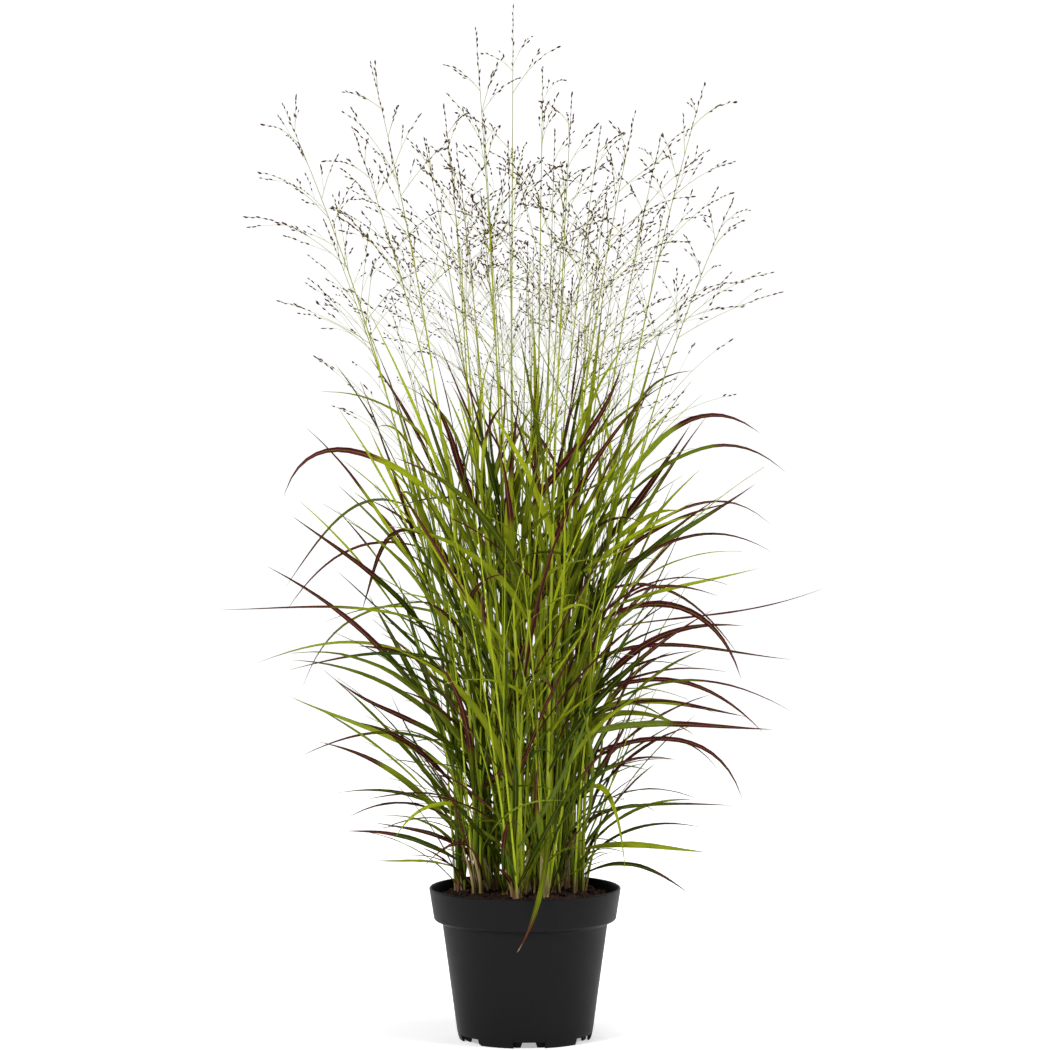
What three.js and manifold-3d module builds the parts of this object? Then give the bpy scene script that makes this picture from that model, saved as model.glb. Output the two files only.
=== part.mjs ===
// A clump of switchgrass in a round nursery pot. Millimetres, +Z up, origin on the ground under its axis.
import * as THREE from "three";
import { mergeVertices } from "three/addons/utils/BufferGeometryUtils.js";
import Module from "manifold-3d";

const wasm = await Module();
wasm.setup();

// Driving dimensions of the pot and the soil.
const POT_SEGMENTS = 32;
const POT_HEIGHT = 183;
const RIM_RADIUS = 115;
const BAND_FOOT_RADIUS = 109.4;
const BAND_FOOT_Z = 145.6;
const LEDGE_RADIUS = 99.3;
const LEDGE_Z = 140;
const BASE_RADIUS = 82;
const BASE_CORNER_Z = 12;
const FOOT_RADIUS = 79.5;
const WALL = 1.8;
const FOOT_WALL = 3;
const FLOOR_Z = 8.5;
const FLOOR_THICKNESS = 2.2;
const NOTCHES = 6;
const NOTCH_ANGLE = THREE.MathUtils.degToRad(28);
const FIRST_NOTCH = THREE.MathUtils.degToRad(-86.2);
const NOTCH_HEIGHT = 7.6;
const GAP = 0.35;
const SOIL_SEGMENTS = POT_SEGMENTS / 2;
const SOIL_Z = 170;
const SOIL_PIECE_GAP = 2 * GAP;
const LIP = 1;
const LEDGE_FILLET = 1.3;
const NOTCH_DEPTH = 24;

// Driving dimensions of the plant.
const TUFTS = 18;
const CULMS_A_TUFT = 3;
const TUFT_SPREAD = 76;
const SOIL_TOP_RADIUS = TUFT_SPREAD + 12;
const CULM_RING = 5;
const CULM_ROOT_DEPTH = 8;
const CULM_TRIES = 40;
const CULM_RADIUS = 2.3;
const CULM_END_RADIUS = 1.2;
const RACHIS_RADIUS = 1.1;
const RACHIS_END_RADIUS = 0.65;
const CROWN_DEPTH = 13;
const CROWN_RADIUS = 8;
const CROWN_FOOT_RADIUS = 5;
const CROWN_HOLE_RADIUS = CROWN_RADIUS + 1.4;
const LEAFY_SHARE = 0.64;
const FLOWERING_JOINTS = [0, 0.22, 0.43, LEAFY_SHARE, 0.82, 1];
const LEAFY_JOINTS = [0, 0.5, 1];
const BLADE_KEEL = 1.3;
const ROOT_WIDTH_SHARE = 0.12;
const BLADE_SPACING = 108;
const SET_BLADE_TRIES = 40;
const BLADE_TRIES = 26;
const FIRST_BLADE_HEIGHT = 42;
const BRANCHES_A_PANICLE = 6;
const BRANCH_TRIES = 16;
const BRANCH_ROOT_RADIUS = 0.34;
const BRANCH_RADIUS = 0.42;
const SPIKELET_RADIUS = 1.1;
const SPIKELET_LENGTH = 5.5;
const GOLDEN_ANGLE = THREE.MathUtils.degToRad(137.508);

// The space that the plant is grown in, as a grid of cells.
const CELL = 3.4;
const ROOM_HALF = 430;
const ROOM_LOW = 20;
const ROOM_HIGH = 1300;
const SAMPLE_STEP = 3;
const FIRST_PANICLE_OWNER = 100;
const FIRST_BLADE_OWNER = 200;
const RIM_ROOM = 4.5;
const RIM_INNER_ROOM = 11;
const TOP_ROOM = 3;
const SOIL_ROOM = 6;

// Tips of the tallest flowering culms: x, y, z.
const SET_TOPS = [
  [-289, -20, 1124],
  [-212, 150, 1098],
  [-180, -150, 1170],
  [-100, 210, 1125],
  [-58, -120, 1210],
  [-14, 10, 1240],
  [22, 180, 1172],
  [54, -240, 1132],
  [95, 260, 1100],
  [128, -180, 1112],
  [166, 110, 1088],
  [214, -20, 1148],
  [246, -70, 1010],
  [-244, 80, 985],
];

// Blades that reach furthest or stand out:
// root x, y, z; tip x, y, z; tilt from upright at the root and at the tip; width.
const SET_BLADES = [
  [-100, -30, 640, -287, -40, 652, 46, 165, 9.5],
  [-114, 20, 536, -265, 50, 734, 40, 50, 7],
  [-120, -40, 464, -278, -90, 638, 32, 55, 9],
  [-132, -20, 368, -310, -50, 575, 36, 62, 10],
  [-150, 40, 577, -293, 80, 503, 75, 145, 4.5],
  [-125, 10, 636, -290, 10, 539, 58, 145, 4.5],
  [-140, -60, 486, -361, -110, 526, 62, 90, 4.5],
  [-150, 50, 524, -270, 90, 415, 90, 160, 4],
  [-102, -30, 443, -200, -60, 479, 62, 85, 8],
  [-140, 30, 438, -327, 60, 446, 58, 112, 5],
  [-130, -50, 446, -283, -90, 452, 70, 104, 5],
  [-110, 0, 608, -196, 0, 514, 65, 160, 7],
  [-110, -50, 332, -227, -100, 446, 38, 50, 9],
  [-110, 40, 314, -289, 80, 406, 56, 68, 8],
  [-85, -40, 318, -199, -80, 391, 44, 76, 9],
  [-110, -20, 350, -270, -30, 343, 64, 115, 4.5],
  [-100, 20, 250, -251, 40, 354, 42, 80, 9],
  [-88, 0, 290, -189, 0, 289, 75, 100, 4.5],
  [-88, -30, 281, -155, -50, 248, 66, 150, 6],
  [-90, -20, 215, -216, -60, 258, 58, 88, 8],
  [-66, 20, 215, -183, 30, 257, 52, 80, 6],
  [-88, 10, 205, -183, 20, 212, 70, 88, 5],
  [80, -40, 506, 257, -70, 436, 58, 165, 10],
  [66, -20, 416, 264, -60, 501, 36, 96, 10],
  [110, 20, 494, 361, 40, 540, 80, 70, 4.5],
  [90, 50, 524, 262, 90, 450, 60, 146, 5],
  [110, -30, 518, 282, -50, 571, 68, 75, 6],
  [80, 20, 446, 325, 50, 452, 62, 96, 6],
  [80, -50, 392, 316, -100, 404, 56, 118, 5],
  [100, 0, 416, 290, 0, 364, 66, 138, 7],
  [66, -30, 350, 298, -70, 378, 66, 92, 11],
  [62, 30, 380, 272, 70, 380, 62, 102, 9],
  [66, 0, 326, 262, 0, 284, 64, 165, 8],
  [88, 40, 320, 235, 70, 315, 60, 145, 5],
  [88, -20, 272, 251, -40, 286, 76, 92, 5],
  [70, -30, 218, 217, -60, 234, 76, 92, 9],
  [88, 0, 200, 199, 10, 172, 62, 128, 7],
  [96, -30, 300, 118, -110, 214, 60, 172, 8],
  [86, 0, 630, 283, 20, 726, 28, 130, 10],
  [96, -30, 650, 310, -60, 683, 44, 134, 6.5],
  [86, -20, 580, 199, -40, 744, 40, 34, 10],
  [96, 10, 590, 298, 30, 614, 54, 134, 5],
  [100, -40, 510, 274, -90, 675, 44, 56, 10],
  [90, 30, 545, 265, 60, 644, 46, 82, 6],
  [96, -60, 560, 293, -110, 592, 56, 120, 5],
  [90, 0, 600, 189, 10, 635, 58, 102, 8],
  [60, -50, 550, 202, -110, 656, 50, 62, 6],
  [18, -10, 660, 65, -30, 865, 20, 5, 11],
  [24, -20, 650, 116, -40, 820, 34, 14, 10],
  [-24, -30, 620, -126, -60, 794, 36, 44, 10],
  [90, 30, 620, 208, 60, 801, 24, 90, 7],
  [35, -60, 290, -8, -146, 122, 24, 172, 9],
  [-10, 90, 420, -30, 361, 470, 50, 110, 9],
  [20, -90, 400, 40, -361, 430, 50, 112, 9],
];

// A seeded stream of numbers. Each culm, blade and branch draws from a stream of its own, named by its key.
class Draws {
  constructor(...key) {
    this.state = 1;
    for (const part of key) {
      this.state = (this.state * 7919 + part * 104729 + 17) % 2147483647;
    }
    for (let i = 0; i < 3; i++) this.between(0, 1);
  }

  between(low, high) {
    this.state = (this.state * 48271) % 2147483647;
    return low + ((high - low) * this.state) / 2147483647;
  }
}

// The cells that hold something, each with the number of its owner, and with -1 where two owners meet.
class Room {
  constructor() {
    this.side = Math.floor((2 * ROOM_HALF) / CELL) + 1;
    this.floors = Math.floor((ROOM_HIGH - ROOM_LOW) / CELL) + 1;
    this.cells = new Int16Array(this.side * this.side * this.floors);
  }

  place(value, low, count) {
    const cell = Math.floor((value - low) / CELL);
    return Math.min(Math.max(cell, 1), count - 2);
  }

  index(point) {
    const i = this.place(point.x, -ROOM_HALF, this.side);
    const j = this.place(point.y, -ROOM_HALF, this.side);
    const k = this.place(point.z, ROOM_LOW, this.floors);
    return (i * this.side + j) * this.floors + k;
  }

  isFree(points, ...allowed) {
    return points.every((point) => {
      const held = this.cells[this.index(point)];
      return held === 0 || allowed.includes(held);
    });
  }

  fill(points, owner) {
    for (const point of points) {
      const middle = this.index(point);
      for (let i = -1; i <= 1; i++) {
        for (let j = -1; j <= 1; j++) {
          for (let k = -1; k <= 1; k++) {
            const cell = middle + (i * this.side + j) * this.floors + k;
            const held = this.cells[cell];
            this.cells[cell] = held === 0 || held === owner ? owner : -1;
          }
        }
      }
    }
  }
}

const radians = THREE.MathUtils.degToRad;
const mix = (a, b, share) => a + (b - a) * share;
const mixed = (a, b, share) => new THREE.Vector3().lerpVectors(a, b, share);

// The direction that leans by tilt from upright towards azimuth.
function leaning(tilt, azimuth) {
  const flat = Math.sin(tilt);
  return new THREE.Vector3(flat * Math.cos(azimuth), flat * Math.sin(azimuth), Math.cos(tilt));
}

// A culm leaves the soil upright and leans out with the square of its height, in straight stretches.
class Culm {
  constructor(number, base, top, flowers) {
    this.number = number;
    this.tuft = Math.floor(number / CULMS_A_TUFT);
    this.base = base;
    this.top = top;
    this.flowers = flowers;
    this.leafyShare = flowers ? LEAFY_SHARE : 1;
    const shares = flowers ? FLOWERING_JOINTS : LEAFY_JOINTS;
    this.joints = shares.map((share) => ({ share, point: this.curveAt(share) }));
  }

  curveAt(share) {
    const lean = share * share;
    return new THREE.Vector3(
      mix(this.base.x, this.top.x, lean),
      mix(this.base.y, this.top.y, lean),
      mix(this.base.z, this.top.z, share),
    );
  }

  at(share) {
    const next = Math.max(1, this.joints.findIndex((joint) => joint.share >= share));
    const [low, high] = [this.joints[next - 1], this.joints[next]];
    return mixed(low.point, high.point, (share - low.share) / (high.share - low.share));
  }

  shareAt(z) {
    return (z - this.base.z) / (this.top.z - this.base.z);
  }

  slope(share) {
    const rise = new THREE.Vector3().subVectors(this.top, this.base);
    return new THREE.Vector3(2 * share * rise.x, 2 * share * rise.y, rise.z).normalize();
  }
}

function tuftCentre(tuft) {
  const radius = TUFT_SPREAD * Math.sqrt((tuft + 0.5) / TUFTS);
  const azimuth = tuft * GOLDEN_ANGLE;
  return new THREE.Vector3(radius * Math.cos(azimuth), radius * Math.sin(azimuth), SOIL_Z);
}

function culmBases() {
  const bases = [];
  for (let tuft = 0; tuft < TUFTS; tuft++) {
    const centre = tuftCentre(tuft);
    for (let k = 0; k < CULMS_A_TUFT; k++) {
      const turn = tuft * GOLDEN_ANGLE + (k * 2 * Math.PI) / CULMS_A_TUFT;
      bases.push(
        new THREE.Vector3(
          centre.x + CULM_RING * Math.cos(turn),
          centre.y + CULM_RING * Math.sin(turn),
          SOIL_Z - CULM_ROOT_DEPTH,
        ),
      );
    }
  }
  return bases;
}

// Each tall top goes to the free base nearest to the point a third of the way out to it.
function topsByBase(bases) {
  const tops = new Map();
  for (const [x, y, z] of SET_TOPS) {
    let best = -1;
    let bestDistance = Infinity;
    bases.forEach((base, i) => {
      const distance = Math.hypot(base.x - x / 3, base.y - y / 3);
      if (!tops.has(i) && distance < bestDistance) {
        best = i;
        bestDistance = distance;
      }
    });
    tops.set(best, new THREE.Vector3(x, y, z));
  }
  return tops;
}

function drawnTop(base, flowers, draws) {
  const radius = Math.hypot(base.x, base.y);
  const azimuth = Math.atan2(base.y, base.x) + radians(draws.between(-32, 32));
  const reach = flowers
    ? radius * draws.between(1.25, 2.5) + draws.between(0, 40)
    : radius * draws.between(1, 1.5) + draws.between(0, 25);
  const height = flowers ? 1150 - 0.5 * reach - draws.between(0, 220) : draws.between(560, 760);
  return new THREE.Vector3(reach * Math.cos(azimuth), reach * Math.sin(azimuth), height);
}

// Two culms of different tufts keep apart all the way up, and two of one tuft above its sheaths.
function clearsCulms(made, others) {
  const apart = 6;
  const sheathTop = SOIL_Z + 140;
  for (const other of others) {
    const start = other.tuft === made.tuft ? sheathTop : SOIL_Z + 20;
    for (let z = start; z < Math.min(made.top.z, other.top.z); z += 20) {
      const here = made.at(made.shareAt(z));
      const there = other.at(other.shareAt(z));
      if (Math.hypot(here.x - there.x, here.y - there.y) < apart) return false;
    }
  }
  return true;
}

function growCulms() {
  const bases = culmBases();
  const tops = topsByBase(bases);
  const order = [...bases.keys()].sort((a, b) => tops.has(b) - tops.has(a) || a - b);
  const culms = [];
  for (const number of order) {
    const base = bases[number];
    const flowers = tops.has(number) || (number % 5 !== 2 && number % 5 !== 4);
    for (let attempt = 0; attempt < CULM_TRIES; attempt++) {
      const draws = new Draws(1, number, attempt);
      let top;
      if (tops.has(number)) {
        top = tops.get(number).clone();
        top.y += attempt * draws.between(-8, 8);
      } else {
        top = drawnTop(base, flowers, draws);
      }
      const made = new Culm(number, base, top, flowers);
      if (clearsCulms(made, culms)) {
        culms.push(made);
        break;
      }
    }
  }
  return culms.sort((a, b) => a.number - b.number);
}

// A blade is a flat strip along a cubic curve, widest near a quarter of its length, that rolls as it goes.
class Blade {
  constructor(culm, curve, azimuth, width, rolls) {
    this.culm = culm;
    this.curve = curve;
    this.width = width;
    this.rolls = rolls;
    this.side = new THREE.Vector3(-Math.sin(azimuth), Math.cos(azimuth), 0);
    this.stations = this.bends() ? [0, 0.2, 0.45, 0.73, 1] : [0, 0.3, 0.7, 1];
  }

  bends() {
    const start = new THREE.Vector3().subVectors(this.curve.v1, this.curve.v0);
    const end = new THREE.Vector3().subVectors(this.curve.v3, this.curve.v2);
    return start.angleTo(end) > 0.8;
  }

  slope(t) {
    const { v0, v1, v2, v3 } = this.curve;
    return new THREE.Vector3()
      .addScaledVector(new THREE.Vector3().subVectors(v1, v0), (1 - t) * (1 - t))
      .addScaledVector(new THREE.Vector3().subVectors(v2, v1), 2 * t * (1 - t))
      .addScaledVector(new THREE.Vector3().subVectors(v3, v2), t * t)
      .normalize();
  }

  halfWidth(t) {
    const widest = 0.28;
    const share =
      t < widest
        ? ROOT_WIDTH_SHARE + (1 - ROOT_WIDTH_SHARE) * Math.sin(((t / widest) * Math.PI) / 2)
        : 1 - Math.pow((t - widest) / (1 - widest), 1.7);
    return 0.5 * this.width * share;
  }

  // The two edges and the keel of the strip's section at t.
  section(t) {
    const centre = this.curve.getPoint(t);
    const along = this.slope(t);
    const flat = this.side.clone().addScaledVector(along, -along.dot(this.side)).normalize();
    const face = new THREE.Vector3().crossVectors(along, flat);
    const roll = mix(this.rolls[0], this.rolls[1], t);
    const across = flat.clone().multiplyScalar(Math.cos(roll)).addScaledVector(face, Math.sin(roll));
    const out = face.clone().multiplyScalar(Math.cos(roll)).addScaledVector(flat, -Math.sin(roll));
    const half = this.halfWidth(t);
    const keel = BLADE_KEEL * (t === 0 ? 0.6 : mix(1, 0.6, t));
    return {
      left: centre.clone().addScaledVector(across, half),
      right: centre.clone().addScaledVector(across, -half),
      keel: centre.clone().addScaledVector(out, -keel),
    };
  }

  // Points over the strip's flat triangles, past the part of it that is inside the culm.
  samples() {
    const points = [];
    for (let k = 0; k + 1 < this.stations.length; k++) {
      const low = this.section(this.stations[k]);
      const high = this.section(this.stations[k + 1]);
      const steps = Math.ceil(low.left.distanceTo(high.left) / SAMPLE_STEP);
      for (let i = k === 0 ? 3 : 0; i <= steps; i++) {
        const left = mixed(low.left, high.left, i / steps);
        const right = mixed(low.right, high.right, i / steps);
        for (let j = 0; j <= 4; j++) points.push(mixed(left, right, j / 4));
      }
    }
    return points;
  }
}

// A cubic curve of three equal legs whose tilt goes from one value to another.
function arc(root, azimuth, length, tilts, swerve) {
  const leg = length / 3;
  const first = root.clone().addScaledVector(leaning(tilts[0], azimuth), leg);
  const middle = leaning((tilts[0] + tilts[1]) / 2, azimuth + swerve / 2);
  const second = first.clone().addScaledVector(middle, leg);
  const tip = second.clone().addScaledVector(leaning(tilts[1], azimuth + swerve), leg);
  return new THREE.CubicBezierCurve3(root, first, second, tip);
}

// A cubic curve from root to tip with the given tilts at its ends.
function arcBetween(root, tip, tilts) {
  const azimuth = Math.atan2(tip.y - root.y, tip.x - root.x);
  const turn = Math.abs(tilts[1] - tilts[0]);
  const circular = turn < 0.1 ? 1 / 3 : ((2 / 3) * Math.tan(turn / 4)) / Math.sin(turn / 2);
  const leg = 1.15 * circular * root.distanceTo(tip);
  const first = root.clone().addScaledVector(leaning(tilts[0], azimuth), leg);
  const second = tip.clone().addScaledVector(leaning(tilts[1], azimuth), -leg);
  return new THREE.CubicBezierCurve3(root, first, second, tip);
}

// Whether every point keeps off the pot's rim and the soil.
function clearsPot(points) {
  return points.every((point) => {
    const radius = Math.hypot(point.x, point.y);
    const byRim = radius > RIM_RADIUS - RIM_INNER_ROOM && radius < RIM_RADIUS + RIM_ROOM;
    const bySoil = radius < RIM_RADIUS - WALL && point.z < SOIL_Z + SOIL_ROOM;
    return !(byRim && point.z < POT_HEIGHT + TOP_ROOM) && !bySoil;
  });
}

function nearestCulm(culms, x, y, z) {
  let best = null;
  let bestDistance = Infinity;
  for (const culm of culms) {
    const share = culm.shareAt(z);
    if (share > culm.leafyShare - 0.02) continue;
    const here = culm.at(share);
    const distance = Math.hypot(here.x - x, here.y - y);
    if (distance < bestDistance) {
      best = culm;
      bestDistance = distance;
    }
  }
  return best;
}

function growSetBlades(culms, room, blades) {
  SET_BLADES.forEach(([rx, ry, rz, tx, ty, tz, rootTilt, tipTilt, width], n) => {
    for (let attempt = 0; attempt < SET_BLADE_TRIES; attempt++) {
      const draws = new Draws(3, n, attempt);
      const reach = attempt * 3;
      const culm = nearestCulm(culms, rx, ry + reach * draws.between(-1.2, 1.2), rz);
      const z = rz + (attempt === 0 ? 0 : draws.between(-14, 14));
      const root = culm.at(culm.shareAt(z));
      const tip = new THREE.Vector3(tx, ty, tz);
      if (Math.abs(ty) < 300) tip.y += reach * draws.between(-1, 1);
      else tip.x += reach * draws.between(-1, 1);
      const tilts = [radians(rootTilt), radians(tipTilt)];
      const curve = arcBetween(root, tip, tilts);
      const azimuth = Math.atan2(tip.y - root.y, tip.x - root.x);
      const hand = n % 2 ? 1 : -1;
      const rolls = [hand * radians(draws.between(25, 60)), hand * radians(draws.between(70, 115))];
      const blade = new Blade(culm, curve, azimuth, width, rolls);
      const points = blade.samples();
      if (!room.isFree(points, culm.number + 1) || !clearsPot(points)) continue;
      room.fill(points, FIRST_BLADE_OWNER + blades.length);
      blades.push(blade);
      return;
    }
  });
}

function drawnBlade(culm, k, height, attempt) {
  const draws = new Draws(2, culm.number, k, attempt);
  const z = height + draws.between(-24, 24);
  const up = (z - SOIL_Z) / 520;
  const root = culm.at(culm.shareAt(z));
  const inner = Math.max(0, 1 - Math.hypot(root.x, root.y) / 60);
  const fan = radians(75 + 105 * inner) * draws.between(0, 1);
  const hand = (k + culm.number) % 2 ? 1 : -1;
  const azimuth = Math.atan2(root.y, root.x) + hand * fan + radians(draws.between(-25, 25));
  const swell = Math.sin(Math.PI * Math.min(1, 0.2 + 0.62 * up));
  const length = 110 + 210 * swell * draws.between(0.7, 1.15);
  const width = (4 + 5 * swell) * draws.between(0.75, 1.15);
  const rootTilt = draws.between(16, 36) - 14 * up;
  const droop = Math.pow(Math.max(0, draws.between(-1, 1)), 2);
  const tipTilt = draws.between(26, 62) - 14 * up + 16 * (1 - up) + 60 * droop;
  const swerve = radians(draws.between(-35, 35));
  const curve = arc(root, azimuth, length, [radians(rootTilt), radians(tipTilt)], swerve);
  const rolls = [radians(draws.between(-70, 70)), radians(draws.between(-110, 110))];
  return new Blade(culm, curve, azimuth, width, rolls);
}

function growDrawnBlades(culms, room, blades) {
  for (const culm of culms) {
    const leafTop = culm.flowers ? mix(SOIL_Z, culm.top.z, 0.5) : culm.top.z - 20;
    let k = 0;
    for (let height = SOIL_Z + FIRST_BLADE_HEIGHT; height < leafTop; height += BLADE_SPACING) {
      for (let attempt = 0; attempt < BLADE_TRIES; attempt++) {
        const blade = drawnBlade(culm, k, height, attempt);
        const points = blade.samples();
        if (!room.isFree(points, culm.number + 1) || !clearsPot(points)) continue;
        room.fill(points, FIRST_BLADE_OWNER + blades.length);
        blades.push(blade);
        break;
      }
      k++;
    }
  }
}

// A branch of a panicle: a hair-thin stalk with a spikelet at its end.
class Branch {
  constructor(culm, root, tip) {
    this.culm = culm;
    this.root = root;
    this.tip = tip;
  }

  samples() {
    const points = [];
    const steps = Math.ceil(this.root.distanceTo(this.tip) / SAMPLE_STEP);
    for (let i = 2; i <= steps; i++) points.push(mixed(this.root, this.tip, i / steps));
    return points;
  }
}

// The lowest branch of a panicle leans out with its culm and is the longest. The others follow round it.
function drawnBranch(culm, k, attempt) {
  const draws = new Draws(4, culm.number, k, attempt);
  const up = (k + draws.between(0.1, 0.9)) / BRANCHES_A_PANICLE;
  const share = mix(culm.leafyShare + 0.02, 0.97, up);
  const root = culm.at(share);
  const outward = Math.atan2(culm.top.y, culm.top.x);
  const azimuth = outward + k * GOLDEN_ANGLE + radians(draws.between(-45, 45));
  const length = mix(168, 44, up) * draws.between(0.75, 1.08);
  const tilt = radians(draws.between(30, 66));
  const tip = root.clone().addScaledVector(culm.slope(share), length * Math.cos(tilt));
  tip.addScaledVector(leaning(Math.PI / 2, azimuth), length * Math.sin(tilt));
  return new Branch(culm, root, tip);
}

function growBranches(culms, room) {
  const branches = [];
  for (const culm of culms.filter((each) => each.flowers)) {
    const owner = FIRST_PANICLE_OWNER + culm.number;
    for (let k = 0; k < BRANCHES_A_PANICLE; k++) {
      for (let attempt = 0; attempt < BRANCH_TRIES; attempt++) {
        const branch = drawnBranch(culm, k, attempt);
        const points = branch.samples();
        if (!room.isFree(points, owner)) continue;
        room.fill(points, owner);
        branches.push(branch);
        break;
      }
    }
  }
  return branches;
}

function growPlant() {
  const room = new Room();
  const culms = growCulms();
  for (const culm of culms) {
    const steps = Math.ceil((culm.top.z - culm.base.z) / SAMPLE_STEP);
    for (let i = 0; i <= steps; i++) {
      const share = i / steps;
      const owner = share < culm.leafyShare ? culm.number + 1 : FIRST_PANICLE_OWNER + culm.number;
      room.fill([culm.at(share)], owner);
    }
  }
  const blades = [];
  growSetBlades(culms, room, blades);
  growDrawnBlades(culms, room, blades);
  const branches = growBranches(culms, room);
  return { culms, blades, branches };
}

// A solid from three.js geometry.
function solidFrom(geometry) {
  geometry.deleteAttribute("normal");
  geometry.deleteAttribute("uv");
  const merged = mergeVertices(geometry, 1e-3);
  return new wasm.Manifold(
    new wasm.Mesh({
      numProp: 3,
      vertProperties: new Float32Array(merged.attributes.position.array),
      triVerts: new Uint32Array(merged.index.array),
    }),
  );
}

function meshFrom(name, solid, material) {
  const { numProp, vertProperties, triVerts } = solid.getMesh();
  const geometry = new THREE.BufferGeometry();
  geometry.setAttribute("position", new THREE.BufferAttribute(vertProperties, numProp));
  geometry.setIndex(new THREE.BufferAttribute(triVerts, 1));
  geometry.computeVertexNormals();
  const mesh = new THREE.Mesh(geometry, material);
  mesh.name = name;
  return mesh;
}

// Two triangles of a twisted quad, split along the diagonal that lies further out.
// A thin loft that twists then keeps its thickness.
function splitQuad(points, [a, b, c, d]) {
  const across = new THREE.Vector3().subVectors(points[c], points[a]);
  const back = new THREE.Vector3().subVectors(points[d], points[b]);
  const out = across.clone().cross(back);
  const shift = points[a].clone().add(points[c]).sub(points[b]).sub(points[d]);
  return shift.dot(out) > 0 ? [a, b, c, a, c, d] : [a, b, d, b, c, d];
}

// A closed solid through rings of equal count, with a point past the last.
// Each ring is counterclockwise seen from its end.
function loft(rings, tip) {
  const count = rings[0].length;
  const points = [...rings.flat(), tip];
  const faces = [];
  for (let i = 1; i + 1 < count; i++) faces.push(0, i + 1, i);
  for (let ring = 0; ring + 1 < rings.length; ring++) {
    for (let i = 0; i < count; i++) {
      const a = ring * count + i;
      const b = ring * count + ((i + 1) % count);
      faces.push(...splitQuad(points, [a, b, b + count, a + count]));
    }
  }
  const last = (rings.length - 1) * count;
  for (let i = 0; i < count; i++) faces.push(last + i, last + ((i + 1) % count), points.length - 1);
  const geometry = new THREE.BufferGeometry().setFromPoints(points);
  geometry.setIndex(faces);
  return solidFrom(geometry);
}

// A ring of points round an axis.
function ringAt(centre, along, radius, count) {
  const side = new THREE.Vector3(0.31, 0.95, 0.02).cross(along).normalize();
  const up = new THREE.Vector3().crossVectors(along, side);
  const points = [];
  for (let i = 0; i < count; i++) {
    const angle = (i * 2 * Math.PI) / count;
    const point = centre.clone().addScaledVector(side, radius * Math.cos(angle));
    points.push(point.addScaledVector(up, radius * Math.sin(angle)));
  }
  return points;
}

function culmSolid(culm) {
  const end = culm.leafyShare;
  const rings = culm.joints
    .filter((joint) => joint.share < end)
    .map(({ share, point }) => {
      const radius = mix(CULM_RADIUS, CULM_END_RADIUS, share / end);
      return ringAt(point, culm.slope(share), radius, 3);
    });
  const neck = end - 0.003;
  rings.push(ringAt(culm.at(neck), culm.slope(neck), CULM_END_RADIUS, 3));
  return loft(rings, culm.at(end));
}

function crownSolid(tuft) {
  const sides = 6;
  const centre = tuftCentre(tuft);
  const up = new THREE.Vector3(0, 0, 1);
  const ring = (depth, radius) => {
    const middle = new THREE.Vector3(centre.x, centre.y, SOIL_Z - depth);
    return ringAt(middle, up, radius, sides);
  };
  const rings = [ring(CROWN_DEPTH, CROWN_FOOT_RADIUS), ring(2, CROWN_RADIUS)];
  return loft(rings, new THREE.Vector3(centre.x, centre.y, SOIL_Z + 3));
}

function bladeSolid(blade) {
  const rings = blade.stations.slice(0, -1).map((t) => {
    const { left, right, keel } = blade.section(t);
    return [left, right, keel];
  });
  return loft(rings, blade.curve.v3);
}

function branchSolid({ root, tip }) {
  const out = new THREE.Vector3().subVectors(tip, root).normalize();
  const neck = tip.clone().addScaledVector(out, -SPIKELET_LENGTH);
  const belly = tip.clone().addScaledVector(out, -SPIKELET_LENGTH / 2);
  const rings = [
    ringAt(root, out, BRANCH_ROOT_RADIUS, 3),
    ringAt(neck, out, BRANCH_RADIUS, 3),
    ringAt(belly, out, SPIKELET_RADIUS, 3),
  ];
  return loft(rings, tip);
}

function rachisSolid(culm) {
  const start = culm.leafyShare + 0.0006;
  const between = culm.joints.map((joint) => joint.share).filter((share) => share > start && share < 1);
  const shares = [start, ...between, 0.99];
  const rings = shares.map((share) => {
    const up = (share - start) / (1 - start);
    return ringAt(culm.at(share), culm.slope(share), mix(RACHIS_RADIUS, RACHIS_END_RADIUS, up), 3);
  });
  return loft(rings, culm.top);
}

const joined = (solids) => solids.reduce((whole, piece) => whole.add(piece));
const twoDigits = (number) => String(number).padStart(2, "0");

// The radius of the pot's tapered wall at z, and that of the band above it, both on the outside.
function wallAt(z) {
  return mix(BASE_RADIUS, LEDGE_RADIUS, (z - BASE_CORNER_Z) / (LEDGE_Z - BASE_CORNER_Z));
}

function bandAt(z) {
  return mix(BAND_FOOT_RADIUS, RIM_RADIUS, (z - BAND_FOOT_Z) / (POT_HEIGHT - BAND_FOOT_Z));
}

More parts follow.
